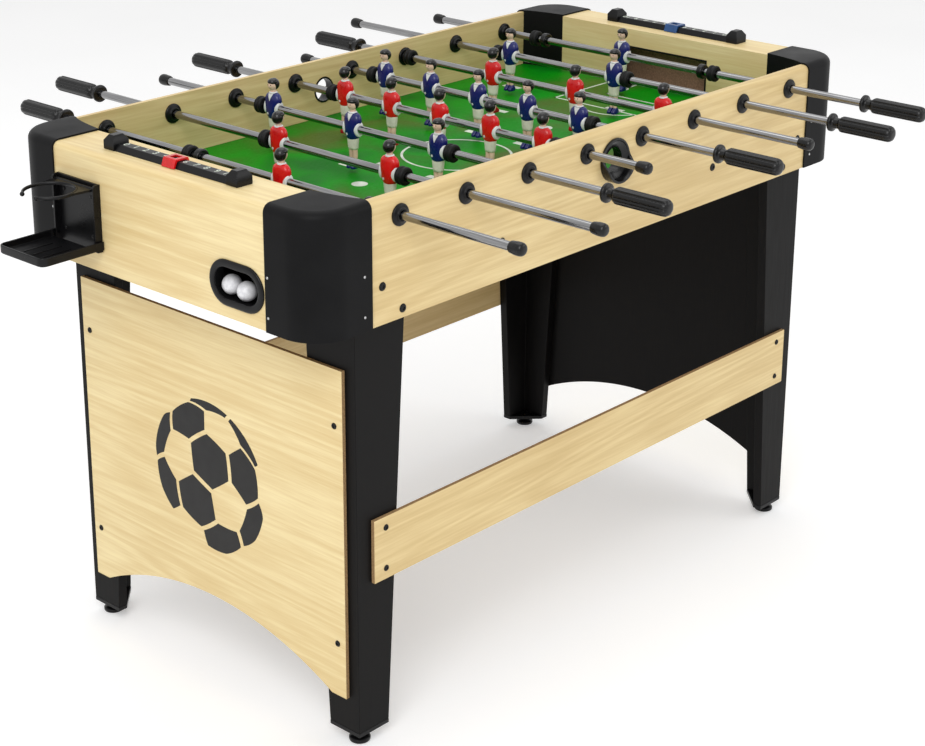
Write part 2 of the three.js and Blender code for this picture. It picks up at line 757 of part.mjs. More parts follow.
/** One man on the rod's axis, facing +X. */
function man() {
  const chest = [
    [-waistWidth / 2, -hipDrop],
    [waistWidth / 2, -hipDrop],
    [chestWidth / 2, shoulderHeight - 8],
    [chestWidth / 2 - 5, shoulderHeight],
    [5 - chestWidth / 2, shoulderHeight],
    [-chestWidth / 2, shoulderHeight - 8],
  ];
  const trunk = prism(chest, "x", -chestDepth / 2, chestDepth / 2);
  const headMiddle = headTop - headRadius;
  const neck = block([-4, 4], [-4, 4], [shoulderHeight - 2, headMiddle]);
  const ball = new THREE.SphereGeometry(headRadius, 8, 4).rotateX(Math.PI / 2);
  const head = solid(ball).translate([0, 0, headMiddle]);
  const side = [
    [-shortsDepth / 2, 2 - hipDrop],
    [-shortsDepth / 2, -shortsDrop],
    [-legsDepth / 2, -shortsDrop],
    [-legsDepth / 2, -ankleDrop],
    [-shoeHeel, -soleDrop],
    [shoeToe, -soleDrop],
    [legsDepth / 2, -ankleDrop],
    [legsDepth / 2, -shortsDrop],
    [shortsDepth / 2, -shortsDrop],
    [shortsDepth / 2, 2 - hipDrop],
  ];
  const front = [
    [-waistWidth / 2, 2 - hipDrop],
    [-legsWidth / 2, -shortsDrop],
    [-shoeWidth / 2, -soleDrop],
    [shoeWidth / 2, -soleDrop],
    [legsWidth / 2, -shortsDrop],
    [waistWidth / 2, 2 - hipDrop],
  ];
  const lower = prism(side, "y", -waistWidth, waistWidth).intersect(prism(front, "x", -shoeToe, shoeToe));
  return joined([trunk, neck, head, lower]);
}

/** A rubber bumper ring on the rod's axis. */
function bumper(bore) {
  return ring(bore, bumperRadius, -bumperLength / 2, bumperLength / 2);
}

/** A handle with its rod socket, drawn from its collar towards +Y. */
function handle() {
  const gripStart = handleNeckLength;
  const end = gripStart + gripLength;
  const round = 6;
  const ridge = gripRadius - round;
  const outline = Array.from({ length: 2 * gripFlutes }, (_, i) => {
    const radius = ridge - (i % 2) * gripFluteDepth;
    const angle = (i * Math.PI) / gripFlutes;
    return new THREE.Vector2(radius * Math.cos(angle), radius * Math.sin(angle));
  });
  const bevel = { bevelEnabled: true, bevelSize: round, bevelThickness: round, bevelSegments: 1 };
  const options = { ...bevel, depth: gripLength - 2 * round };
  const geometry = new THREE.ExtrudeGeometry(new THREE.Shape(outline), options);
  const grip = solid(geometry.applyMatrix4(new THREE.Matrix4().makeRotationX(-Math.PI / 2)))
    .translate([0, gripStart + round, 0]);
  const neck = turned([
    [0, -handleCollarLength / 2],
    [handleCollarRadius, -handleCollarLength / 2],
    [handleCollarRadius, handleCollarLength / 2],
    [handleNeckRadius, handleCollarLength / 2 + 3],
    [handleNeckRadius, gripStart + round],
    [0, gripStart + round],
  ]);
  const socket = bar(socketBore, -handleCollarLength / 2 - 1, handleSocketDepth);
  return grip.add(neck).subtract(socket).intersect(bar(gripRadius + 5, -20, end, 24));
}

/** The cap on a rod's plain end, drawn from its mouth towards +Y. */
function endCap() {
  const round = 3;
  return turned([
    [0, 0],
    [endCapRadius, 0],
    [endCapRadius, endCapLength - round],
    [endCapRadius - round, endCapLength],
    [0, endCapLength],
  ]);
}

const standing = man();
const heldBumper = bumper(rodRadius - 0.5); // bites on the rod, so it is one solid with it
const runningBumper = bumper(axisBore);
const handleBody = handle();
const capBody = endCap();
const collar = bar(collarRadius, -collarLength / 2, collarLength / 2);

rods.forEach(({ team, line, towards, stopGap, looseBumper }, index) => {
  const number = index + 1;
  const rest = towards * (travel(line) - stopGap);
  const handleSide = team === "red" ? 1 : -1; // red plays from the back, blue from the front
  const tubeEnd = handleSide * (line.handleEnd - handleCollarLength / 2 + handleSocketDepth - clearance);
  const plainEnd = -handleSide * line.plainEnd;
  const facing = (body) => (handleSide > 0 ? body : body.rotate([0, 0, 180]));
  const capMouth = plainEnd + handleSide * (endCapLength - endCapWall);
  const [from, to] = [tubeEnd, plainEnd].sort((a, b) => a - b);
  const onRod = [
    bar(rodRadius, from, to),
    ...line.men.map((y) => facing(standing).translate([0, y, 0])),
    facing(capBody.mirror([0, 1, 0])).translate([0, capMouth, 0]),
  ];
  if (!looseBumper) onRod.push(heldBumper.translate([0, handleSide * line.bumper, 0]));
  if (line.collars) onRod.push(...[-1, 1].map((s) => collar.translate([0, s * line.collars, 0])));
  const bore = bar(rodBore, from - (handleSide < 0 ? 1 : 0), to + (handleSide > 0 ? 1 : 0));
  const rodGroup = new THREE.Group();
  rodGroup.position.set(rodPlace(index), rest, rodHeight);
  table.add(rodGroup);
  place(`rod_${number}`, joined(onRod).subtract(bore), steel, rodGroup);
  const handleHere = facing(handleBody).translate([0, handleSide * line.handleEnd, 0]);
  place(`handle_${number}`, handleHere, gloss, rodGroup);
  place(`bumper_${number}`, runningBumper.translate([0, -handleSide * line.bumper, 0]), rubber, rodGroup);
  if (looseBumper) {
    const atWall = handleSide * (bearingFace - clearance - bumperLength / 2) - rest;
    place(`bumper_${number}_loose`, runningBumper.translate([0, atWall, 0]), rubber, rodGroup);
  }
});

export default table;
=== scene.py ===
"""Looks of the table football table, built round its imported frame.

Shapes are worked out in millimetres and go into their meshes in metres. The long sides are front (-Y) and
back (+Y), the short ends left (-X) and right (+X). A piece of the right end or the back is the one of the
left end or the front turned half round.
"""

import math
from itertools import combinations

import bmesh
import bpy
import numpy as np
from mathutils import Matrix, Vector


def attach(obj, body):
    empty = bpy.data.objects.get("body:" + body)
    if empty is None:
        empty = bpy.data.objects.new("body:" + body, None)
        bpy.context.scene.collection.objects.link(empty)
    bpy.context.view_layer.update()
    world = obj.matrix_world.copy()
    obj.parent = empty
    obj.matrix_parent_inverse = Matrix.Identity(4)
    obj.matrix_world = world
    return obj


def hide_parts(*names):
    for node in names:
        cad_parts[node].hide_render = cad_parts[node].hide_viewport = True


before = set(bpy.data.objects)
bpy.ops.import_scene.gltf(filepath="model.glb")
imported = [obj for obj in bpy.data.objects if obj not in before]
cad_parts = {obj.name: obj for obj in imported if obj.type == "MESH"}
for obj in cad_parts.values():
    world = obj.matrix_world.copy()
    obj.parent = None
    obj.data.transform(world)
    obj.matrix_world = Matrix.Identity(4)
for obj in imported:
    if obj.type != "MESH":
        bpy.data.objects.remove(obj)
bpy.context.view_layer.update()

# ---- sizes, in millimetres

METRES = 0.001
# the gap that is left between two pieces that meet
GAP = 0.3
# the cabinet over its corner caps, and the lower edge of its boards
HALF_LENGTH, HALF_WIDTH, TOP = 590, 305, 783
APRON_BOTTOM = 613
# the corner caps: round in plan, round of the top edge, thickness of the skin, and where their arms start
CAP_CORNER, CAP_EDGE, CAP_SKIN = 56, 12, 2.5
CAP_SIDE_START, CAP_END_START = 491, 213
# the boards' top, outer faces and inner faces, and the two faces of the goal wall
BOARD, BOARD_TOP = 15, 780.2
END_FACE, SIDE_FACE = 587.2, 302.2
END_INNER, SIDE_INNER = 572.2, 287.2
WALL_OUTER, WALL_INNER = 521.2, 509.2
FIELD_TOP, FIELD_BOTTOM = 686, 680
FIELD_GROOVE = (FIELD_BOTTOM - GAP, FIELD_TOP + GAP)
LINE_HALF = 2
GOAL_HALF, GOAL_HEIGHT = 93, 63
ROD_HEIGHT, ROD_SPACING = 753, 125.2
ROD_RADIUS, ROD_BORE, BEARING_PROUD = 6, 4.8, 6
LEG_X, LEG_Y, LEG_TOP, LEG_BOTTOM = 507, 286.9, 679.7, 23.3
# the lower end panels and the stretchers, with the heads of their screws
PANEL_FACE, PANEL_INNER, PANEL_HALF, PANEL_BOTTOM, PANEL_TOP = 513.3, 507.3, 268.9, 73, 552
STRETCHER_FACE, STRETCHER_HALF, STRETCHER_BOTTOM, STRETCHER_TOP = 293.2, 481, 244, 336
SCREW_RADIUS, SCREW_HEIGHT = 4.5, 1.6
ENTRY_HEIGHT = 731
RETURN_Y, RETURN_Z, RETURN_STRAIGHT = -158, 661, 20
SCORE_X, SCORE_BASE, SCORE_RISE = 548.2, 780.5, 9
CUP_Y, CUP_TOP, CUP_BOTTOM = 160, 739, 643
HINGE_X, HOOP_Z, TRAY_HINGE_Z = 594.7, 732, 655
SIDES, ENDS = ("front", "back"), ("left", "right")
CORNERS = [(f"{side}_{end}", x, y) for end, x in zip(ENDS, (-1, 1)) for side, y in zip(SIDES, (-1, 1))]

# ---- shapes


class Shape:
    """Points, faces as lists of point numbers, and for each face the number of its finish in the piece."""

    def __init__(self, points, faces, finish=0):
        self.points = np.asarray(points, float).reshape(-1, 3)
        self.faces = list(faces)
        self.finish = np.broadcast_to(finish, len(self.faces)).astype(int)

    def __add__(self, other):
        faces = self.faces + [[i + len(self.points) for i in face] for face in other.faces]
        return Shape(np.vstack([self.points, other.points]), faces, np.append(self.finish, other.finish))

    def at(self, x=0, y=0, z=0):
        return Shape(self.points + (x, y, z), self.faces, self.finish)

    def scaled(self, x=1, y=1, z=1):
        return Shape(self.points * (x, y, z), self.faces, self.finish)

    def half_turn(self):
        return self.scaled(-1, -1)

    def swapped(self):
        """The shape with its x and y exchanged."""
        return Shape(self.points[:, [1, 0, 2]], self.faces, self.finish)

    def finished(self, number):
        return Shape(self.points, self.faces, number)


def together(shapes):
    first, *others = shapes
    return sum(others, first)


def both(value):
    """A distance to either side of the middle."""
    return -value, value


def round_angles(steps):
    return np.linspace(0, 2 * np.pi, steps, endpoint=False)


def rectangle(a, b):
    """The four corners between two values of a and two of b."""
    return [(a[0], b[0]), (a[1], b[0]), (a[1], b[1]), (a[0], b[1])]


def surface(points, round_u=False, round_v=True, ends=True):
    """Four-sided faces between neighbouring points of a grid, closed round where asked. The first and the
    last row can each be closed by one flat face."""
    rows, columns = points.shape[:2]
    number = np.arange(rows * columns).reshape(rows, columns)
    if round_u:
        number = np.vstack([number, number[:1]])
    if round_v:
        number = np.hstack([number, number[:, :1]])
    corners = [number[:-1, :-1], number[1:, :-1], number[1:, 1:], number[:-1, 1:]]
    faces = np.stack(corners, -1).reshape(-1, 4).tolist()
    if ends:
        faces += [number[0, :columns][::-1].tolist(), number[-1, :columns].tolist()]
    return Shape(points, faces)


def laid(flat, along, distance):
    """Flat points (a, b) set at a distance along an axis: (y, z) along x, (x, z) along y, (x, y) along z."""
    flat = np.asarray(flat, float)
    return np.insert(flat, "xyz".index(along), distance, axis=-1)


def board(outline, along, low, high, finish=(0, 0, 0)):
    """An outline carried straight from low to high along an axis. The finishes are those of its edges, its
    low face and its high face."""
    shape = surface(np.stack([laid(outline, along, low), laid(outline, along, high)]))
    shape.finish = np.append(np.full(len(shape.faces) - 2, finish[0]), finish[1:])
    return shape


def block(x, y, z, finish=0):
    """A block between two values of x, y and z."""
    return board(rectangle(x, y), "z", *z, (finish,) * 3)


def turned(profile, along="y", steps=40, hollow=False):
    """A turned piece: each (radius r, distance d) of the profile goes once round the axis, through the points
    r cos a, r sin a at the distance d. A hollow piece's profile is a closed loop."""
    radius, distance = np.asarray(profile, float).T
    angle = round_angles(steps)
    flat = radius[:, None, None] * np.stack([np.cos(angle), np.sin(angle)], -1)
    points = np.stack([laid(ring, along, d) for ring, d in zip(flat, distance)])
    return surface(points, round_u=hollow, ends=not hollow)


def eased(outline, ease, steps=4, closed=True):
    """The outline with each corner c drawn as the curve (1-t)^2 a + 2t(1-t) c + t^2 b, where a and b lie on
    its two sides, at the distance ease from it."""
    outline = np.asarray(outline, float)
    ease = np.broadcast_to(ease, len(outline)).astype(float)[:, None]

    def towards(other):
        length = np.linalg.norm(other - outline, axis=1, keepdims=True)
        return outline + (other - outline) * np.minimum(ease / np.maximum(length, 1e-9), 0.5)

    a, b = towards(np.roll(outline, 1, 0)), towards(np.roll(outline, -1, 0))
    t = np.linspace(0, 1, steps + 1)[:, None, None]
    curve = ((1 - t) ** 2 * a + 2 * t * (1 - t) * outline + t**2 * b).transpose(1, 0, 2)
    if not closed:
        curve = np.concatenate([outline[:1], curve[1:-1].reshape(-1, 2), outline[-1:]])
    return curve.reshape(-1, 2)


def arc(x, y, radius, start, end, steps=16):
    """Points on an arc about (x, y), with its angles in turns of 360 degrees."""
    angle = np.linspace(start, end, steps + 1) * 2 * np.pi
    return np.stack([x + radius * np.cos(angle), y + radius * np.sin(angle)], -1)


def cylinder(radius, low, high, along="y", steps=20):
    """A plain round bar along an axis."""
    return turned([(0, low), (radius, low), (radius, high), (0, high)], along, steps)


def mirrored(*half):
    """A profile of (radius, distance) and then its mirror image, back from the end."""
    return [*half, *((radius, -distance) for radius, distance in half[::-1])]


def ball(radius, rows, columns):
    """A half circle of the given radius turned round the z axis."""
    return turned(arc(0, 0, radius, -0.25, 0.25, rows), "z", columns)


def smooth(value, low, high):
    """0 below low, 1 above high, and 3t^2 - 2t^3 in between."""
    t = np.clip((value - low) / (high - low), 0, 1)
    return t * t * (3 - 2 * t)


# ---- meshes and pieces


def mesh_of(shape, name):
    """The shape as a mesh in metres, its doubled points merged and its faces turned outwards."""
    mesh = bpy.data.meshes.new(name)
    mesh.from_pydata((shape.points * METRES).tolist(), [], shape.faces)
    mesh.polygons.foreach_set("material_index", shape.finish.astype(np.int32))
    work = bmesh.new()
    work.from_mesh(mesh)
    bmesh.ops.remove_doubles(work, verts=work.verts, dist=1e-6)
    bmesh.ops.dissolve_degenerate(work, edges=work.edges, dist=1e-7)
    bmesh.ops.recalc_face_normals(work, faces=work.faces)
    work.to_mesh(mesh)
    work.free()
    return mesh


def shape_of(mesh, unit=METRES):
    """A mesh taken back as a shape."""
    points = np.zeros(len(mesh.vertices) * 3)
    mesh.vertices.foreach_get("co", points)
    faces = [list(face.vertices) for face in mesh.polygons]
    return Shape(points / unit, faces, [face.material_index for face in mesh.polygons])


def in_scene(name, data):
    """A new object with the data, linked into the scene."""
    obj = bpy.data.objects.new(name, data)
    bpy.context.scene.collection.objects.link(obj)
    return obj


def cut(shape, tools, operation="DIFFERENCE"):
    """The shape less each tool, or the part that it shares with each tool."""
    objects = [in_scene("work", mesh_of(each, "work")) for each in [shape, *tools]]
    for tool in objects[1:]:
        modifier = objects[0].modifiers.new("cut", "BOOLEAN")
        modifier.operation, modifier.solver, modifier.object = operation, "EXACT", tool
    left = shape_of(objects[0].evaluated_get(bpy.context.evaluated_depsgraph_get()).to_mesh())
    for obj in objects:
        bpy.data.meshes.remove(obj.data)
    return left


def solid(name, shape, finishes, bevel=0.0, sharp=35):
    """An object of the shape, with its finishes and its eased edges."""
    mesh = mesh_of(shape, name)
    for finish in finishes:
        mesh.materials.append(finish)
    mesh.shade_smooth()
    mesh.set_sharp_from_angle(angle=math.radians(sharp))
    obj = in_scene(name, mesh)
    if bevel:
        edge = obj.modifiers.new("eased edges", "BEVEL")
        edge.width, edge.segments, edge.limit_method = bevel * METRES, 2, "ANGLE"
        edge.angle_limit, edge.harden_normals = math.radians(40), True
    return obj


def piece(name, shape, finishes, node=None, body="cabinet", bevel=0.0, sharp=35):
    """One visible piece in its place, with the body that it rides on and the node that it stands for."""
    obj = solid(name, shape, finishes, bevel, sharp)
    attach(obj, body)
    if node:
        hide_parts(node)


def pair(name, places, shape, finishes, node="", slot=None, body="cabinet", bevel=0.0, sharp=35):
    """The same piece twice: as drawn at the front or the left, and turned half round at the back or the
    right. The place fills the braces in the names of the piece, its node and its body."""
    finishes = finishes if isinstance(finishes, tuple) else (finishes, finishes)
    for place, made, finish in zip(places, (shape, shape.half_turn()), finishes):
        piece(name.format(place), made, finish, node.format(place), body.format(place), bevel, sharp)


def fitting(name, places, shape, node="", **rest):
    """A pair of black fittings."""
    pair(name, places, shape, [fitting_plastic], node, "black_plastic", **rest)


# ---- finishes


def colour(red, green, blue):
    """A colour given as 0 to 255 on screen, as the shader's linear values."""
    share = np.array([red, green, blue]) / 255
    return (*np.where(share <= 0.04045, share / 12.92, ((share + 0.055) / 1.055) ** 2.4), 1)


class Finish:
    """A material with helpers that add its nodes. Its patterns lie in the object's own metres."""

    def __init__(self, name, base, roughness, metallic=0.0, specular=0.5, coat=0.0):
        self.material = bpy.data.materials.new(name)
        self.material.use_nodes = True
        self.material.diffuse_color = colour(*base)
        self.nodes, self.links = self.material.node_tree.nodes, self.material.node_tree.links
        self.shader = self.nodes["Principled BSDF"]
        values = {"Base Color": colour(*base), "Roughness": roughness, "Metallic": metallic}
        values |= {"Specular IOR Level": specular, "Coat Weight": coat, "Coat Roughness": 0.1}
        for key, value in values.items():
            self.paint(key, value)

    def add(self, kind, inputs=(), **settings):
        """A node with its settings, its inputs given as values or as other nodes' sockets."""
        node = self.nodes.new("ShaderNode" + kind)
        for key, value in settings.items():
            setattr(node, key, value)
        for key, value in dict(inputs).items():
            self.put(node.inputs[key], value)
        return node

    def put(self, socket, value):
        if isinstance(value, bpy.types.NodeSocket):
            self.links.new(value, socket)
        else:
            socket.default_value = value

    def stretched(self, x=1, y=1, z=1):
        """The place in the object, stretched: a pattern on it is finer along an axis with a larger number."""
        place = self.add("TexCoord").outputs["Object"]
        return self.add("Mapping", {"Vector": place, "Scale": (x, y, z)}).outputs["Vector"]

    def noise(self, place, scale, detail=3, roughness=0.5, distortion=0.0):
        inputs = {"Vector": place, "Scale": scale, "Detail": detail, "Roughness": roughness}
        return self.add("TexNoise", {**inputs, "Distortion": distortion}).outputs["Fac"]

    def maths(self, operation, a, b=0.0):
        return self.add("Math", {0: a, 1: b}, operation=operation).outputs[0]

    def level(self, value, low, high, dark, light):
        """A value between low and high as a number between dark and light."""
        inputs = {"Value": value, "From Min": low, "From Max": high, "To Min": dark, "To Max": light}
        return self.add("MapRange", inputs).outputs["Result"]

    def paint(self, socket, value):
        self.put(self.shader.inputs[socket], value)

    def shades(self, value, *stops):
        """The base colour along a value, from (place, colour) stops."""
        node = self.add("ValToRGB", {"Fac": value})
        elements = node.color_ramp.elements
        while len(elements) < len(stops):
            elements.new(0.5)
        for element, (place, shade) in zip(elements, stops):
            element.position, element.color = place, colour(*shade)
        self.paint("Base Color", node.outputs["Color"])

    def dullness(self, value, smoothest, roughest):
        """The roughness as the middle of a pattern goes from low to high."""
        self.paint("Roughness", self.level(value, 0.3, 0.7, smoothest, roughest))

    def bump(self, height, depth, strength=1.0):
        """Relief from a height between 0 and 1, its depth in millimetres."""
        node = self.add("Bump", {"Height": height, "Distance": depth * METRES, "Strength": strength})
        self.paint("Normal", node.outputs["Normal"])


def darker(shade, share):
    return tuple(int(part * share) for part in shade)


def maple_foil(name, grain, light, dark):
    """Wood-grain foil: contour lines of a slow noise stretched along the grain, with fine pores between."""
    made = Finish(name, light, 0.42, specular=0.35)
    figure = made.noise(made.stretched(**{grain: 0.07}), 11.0, 2, 0.45, 0.4)
    rings = made.maths("SINE", made.maths("MULTIPLY", figure, 70.0))
    pores = made.noise(made.stretched(**{grain: 0.035}), 260, 3, 0.6)
    drift = made.noise(made.stretched(), 3.0, 2)
    tone = made.maths("ADD", made.level(rings, -1, 1, 0.1, 0.36), made.level(pores, 0.3, 0.7, 0.0, 0.44))
    tone = made.maths("ADD", tone, made.level(drift, 0.3, 0.7, -0.1, 0.3))
    middle = tuple(int(a * 0.55 + b * 0.45) for a, b in zip(dark, light))
    made.shades(tone, (0.05, dark), (0.5, middle), (0.95, light))
    made.dullness(pores, 0.38, 0.5)
    made.bump(pores, 0.05, 0.35)
    return made.material


def moulded_black(name, shade, roughness, grain=0.9, depth=0.08, specular=0.09):
    """Moulded plastic with a fine leathery skin: cells of the given size in millimetres."""
    made = Finish(name, shade, roughness, specular=specular)
    place = made.stretched()
    cells = made.add("TexVoronoi", {"Vector": place, "Scale": 1000 / grain}, feature="SMOOTH_F1")
    wear = made.noise(place, 14, 4)
    made.shades(wear, (0.3, shade), (0.75, tuple(int(part * 1.22 + 5) for part in shade)))
    made.dullness(wear, roughness - 0.05, roughness + 0.08)
    made.bump(cells.outputs["Distance"], depth, 0.6)
    return made.material


def glossy_plastic(name, shade, roughness=0.28, coat=0.3):
    """Smooth moulded plastic, with a faint unevenness of tone and gloss."""
    made = Finish(name, shade, roughness, coat=coat, specular=0.3)
    place = made.stretched()
    cloud = made.noise(place, 60, 3)
    made.shades(cloud, (0.3, darker(shade, 0.86)), (0.7, shade))
    made.dullness(cloud, roughness - 0.05, roughness + 0.07)
    made.bump(made.noise(place, 420, 2), 0.03, 0.3)
    return made.material


def black_foil_board():
    """Black foil on board: a fine matt grain along the height."""
    made = Finish("black foil", (13, 12, 12), 0.5, specular=0.12)
    fibres = made.noise(made.stretched(1, 1, 0.05), 420, 3, 0.6)
    made.shades(fibres, (0.3, (9, 8, 8)), (0.7, (18, 17, 17)))
    made.dullness(fibres, 0.42, 0.58)
    made.bump(fibres, 0.04, 0.4)
    return made.material


def raw_board(name, shade):
    """The raw edge of pressed board: small chips of darker and lighter wood."""
    made = Finish(name, shade, 0.8, specular=0.2)
    chips = made.noise(made.stretched(), 520, 4, 0.7)
    made.shades(chips, (0.32, darker(shade, 0.72)), (0.66, shade))
    made.bump(chips, 0.15, 0.5)
    return made.material


def printed_field():
    """The field's print: bright green with soft darker and olive patches, under a thin gloss."""
    made = Finish("field print", (12, 124, 18), 0.5, specular=0.1)
    place = made.stretched()
    patches = made.noise(place, 7.5, 2, 0.45, 0.4)
    blades = made.noise(made.stretched(1, 2.2, 1), 180, 4, 0.6)
    tone = made.maths("ADD", patches, made.level(blades, 0.3, 0.7, -0.03, 0.03))
    greens = (6, 108, 22), (2, 140, 10), (36, 126, 20), (80, 104, 36)
    made.shades(tone, *zip((0.32, 0.45, 0.55, 0.68), greens))
    made.dullness(blades, 0.4, 0.54)
    made.bump(blades, 0.03, 0.25)
    return made.material


def plated_steel():
    """Drawn tube with a bright dark plating: fine scratches along the rod."""
    made = Finish("plated steel", (150, 150, 152), 0.16, metallic=1.0)
    scratches = made.noise(made.stretched(1, 0.02, 1), 900, 3, 0.6)
    made.shades(scratches, (0.3, (118, 118, 119)), (0.7, (160, 160, 161)))
    made.dullness(scratches, 0.06, 0.16)
    made.bump(scratches, 0.02, 0.2)
    return made.material


def white_ball_plastic():
    made = Finish("white ball plastic", (236, 236, 238), 0.35, specular=0.45)
    scuffs = made.noise(made.stretched(), 160, 4, 0.65)
    made.shades(scuffs, (0.34, (214, 214, 218)), (0.6, (240, 240, 242)))
    made.bump(scuffs, 0.08, 0.3)
    return made.material


# One maple foil in two tones of painted light: the copy on the side boards and stretchers, whose faces look
# to the front and back, is painted darker as shade, and the copy on the end rails and lower panels is painted
# lighter as the light that falls on the ends
maple_sides_painted_shade = maple_foil("maple foil along the sides painted darker as shade", "x", (230, 207, 154), (203, 175, 120))
maple_ends_painted_light = maple_foil("maple foil along the ends painted lighter as light", "y", (241, 222, 171), (217, 189, 132))
black_foil = black_foil_board()
board_edge = raw_board("raw board edge", (176, 142, 100))
# The raw board behind the goal is the board's own brown, painted lighter than the raw edges as light, since
# it sits in shade inside the cabinet
behind_goal_painted_lit = raw_board("raw board behind the goal painted lighter as light", (196, 158, 126))
cap_plastic = moulded_black("corner cap plastic", (15, 15, 16), 0.46, 1.1, 0.1)
fitting_plastic = moulded_black("black fittings", (9, 9, 10), 0.3, 0.7, 0.04, 0.22)
gloss_black = glossy_plastic("gloss black plastic", (8, 8, 9), 0.26, 0.05)
rubber_black = moulded_black("black rubber", (12, 12, 13), 0.5, 0.5, 0.05, 0.2)
field_print = printed_field()
white_print = glossy_plastic("white print", (232, 240, 226), 0.36, 0.0)
black_print = glossy_plastic("black print", (16, 14, 14), 0.4, 0.0)
steel = plated_steel()
ball_white = white_ball_plastic()
red = glossy_plastic("red plastic", (226, 18, 20))
blue = glossy_plastic("blue plastic", (26, 74, 132))
navy = glossy_plastic("navy plastic", (14, 26, 104))
white = glossy_plastic("white plastic", (240, 240, 240), 0.35, 0.1)
cream = glossy_plastic("cream plastic", (238, 234, 218), 0.4, 0.05)
skin = glossy_plastic("skin coloured plastic", (240, 204, 180), 0.4, 0.05)
hair = glossy_plastic("black paint", (16, 15, 17), 0.26, 0.2)
dark_red = glossy_plastic("dark red paint", (176, 22, 28), 0.35, 0.1)
screw_zinc = Finish("zinc screw", (190, 190, 190), 0.3, metallic=1.0).material

# ---- small fittings


def bolt_head(radius, height, recess=0.45):
    """A low round head on the Y axis, its rim a quarter curve round a hollow for the key."""
    rim = arc(radius - height, 0, height, 0, 0.25, 5)
    hollow = [(radius * recess, height), (radius * recess * 0.9, height * 0.35), (0, height * 0.35)]
    return turned(np.vstack([[(0, -0.4), (radius, -0.4)], rim, hollow]), steps=24).scaled(y=-1)


def heads(radius, height, face, places):
    """Bolt heads on a face that looks to -Y, at places (x, z)."""
    return together(bolt_head(radius, height).at(x, face, z) for x, z in places)


# ---- cabinet


def cabinet_form(inset):
    """The cabinet's outer form drawn in by an inset: in plan a rectangle whose corners have the cap's radius
    less the inset, and upwards a wall that turns in over its top edge on a quarter circle, also less it."""
    edge = CAP_EDGE - inset
    turn = np.linspace(0, np.pi / 2, 9)
    inwards = np.concatenate([[0], edge * (1 - np.cos(turn))])
    height = np.concatenate([[APRON_BOTTOM - 30], TOP - inset - edge + edge * np.sin(turn)])
    rows = []
    for more, z in zip(inwards, height):
        corner = CAP_CORNER - inset - more
        x, y = HALF_LENGTH - inset - more - corner, HALF_WIDTH - inset - more - corner
        signs = [(1, 1), (-1, 1), (-1, -1), (1, -1)]
        outline = [arc(sx * x, sy * y, corner, k / 4, (k + 1) / 4, 20) for k, (sx, sy) in enumerate(signs)]
        rows.append(laid(np.vstack(outline), "z", z))
    return surface(np.array(rows))


def to_cabinet_form(shape, tools):
    """The shape cut to the form inside the caps, less its tools."""
    return cut(cut(shape, [cabinet_form(CAP_SKIN + GAP)], "INTERSECT"), tools)


def rod_place(index):
    """The x of a rod, counted from the left from 0."""
    return (index - 3.5) * ROD_SPACING


def side_board():
    """The front side board: grooved for the field and pierced for the ball entry."""
    outside, inside = -SIDE_FACE - 5, -SIDE_INNER + 5
    whole = block(both(END_INNER - GAP), (-SIDE_FACE, -SIDE_INNER), (APRON_BOTTOM, BOARD_TOP))
    entry = cylinder(21, outside, inside, steps=48).at(z=ENTRY_HEIGHT)
    groove = block(both(WALL_INNER + 4), (-SIDE_INNER - 4, inside), FIELD_GROOVE)
    return to_cabinet_form(whole, [entry, groove])


def bearing():
    """One bearing at the front side board, inside and outside: a flange that thins towards its rim round a
    raised hub, with the rod's bore through both."""
    flange = [(6.4, 0), (6.4, 5.4), (6.9, 6), (8.7, 6), (9.4, 5.4), (9.7, 4.1), (12.6, 3.5)]
    flange += [(14.2, 2.9), (15, 1.9), (15, -0.5), (14, -1), (6.4, -1)]
    outer = turned(eased(flange, 0.35, 2), hollow=True)
    return outer.scaled(y=-1).at(y=-SIDE_FACE) + outer.at(y=-SIDE_INNER)


def end_rail():
    """The left end rail: outer board, top board and goal wall as one section with a round top edge, the goal
    cut through its wall and the ball return's oval through its outer board."""
    under = BOARD_TOP - BOARD
    section = [
        (-END_FACE, APRON_BOTTOM), (-END_INNER, APRON_BOTTOM), (-END_INNER, under), (-WALL_OUTER, under),
        (-WALL_OUTER, APRON_BOTTOM), (-WALL_INNER, APRON_BOTTOM), (-WALL_INNER, BOARD_TOP),
    ]
    edge = arc(-END_FACE + 9.2, BOARD_TOP - 9.2, 9.2, 0.25, 0.5, 8)
    rail = board(np.vstack([section, edge]), "y", *both(SIDE_INNER - GAP))
    # the inner face of the outer board takes the raw board painted lighter as light, and the underside of the
    # top and the back of the goal wall take the black foil
    rail.finish[1:4] = (2, 1, 1)
    goal = block((-530, -505), both(GOAL_HALF), (FIELD_TOP, FIELD_TOP + GOAL_HEIGHT), finish=1)
    groove = block((-WALL_INNER - 4, -500), both(300), FIELD_GROOVE)
    mouth = board(oval(27.8), "x", -600, -550, (1, 1, 1))
    return to_cabinet_form(rail, [goal, groove, mouth])


def goal_frame():
    """The thin black frame round the left goal's opening, on the wall's playing face."""
    rows = []
    low = FIELD_TOP + 0.2
    for grow, out in [(0.0, -4.0), (0.0, 0.9), (0.5, 1.3), (2.6, 1.3), (3.0, 0.9), (3.0, -4.0)]:
        y, high, x = GOAL_HALF - 0.6 + grow, FIELD_TOP + GOAL_HEIGHT - 0.6 + grow, -WALL_INNER + out
        rows.append([(x, -y, low), (x, -y, high), (x, y, high), (x, y, low)])
    return surface(np.array(rows).transpose(1, 0, 2))


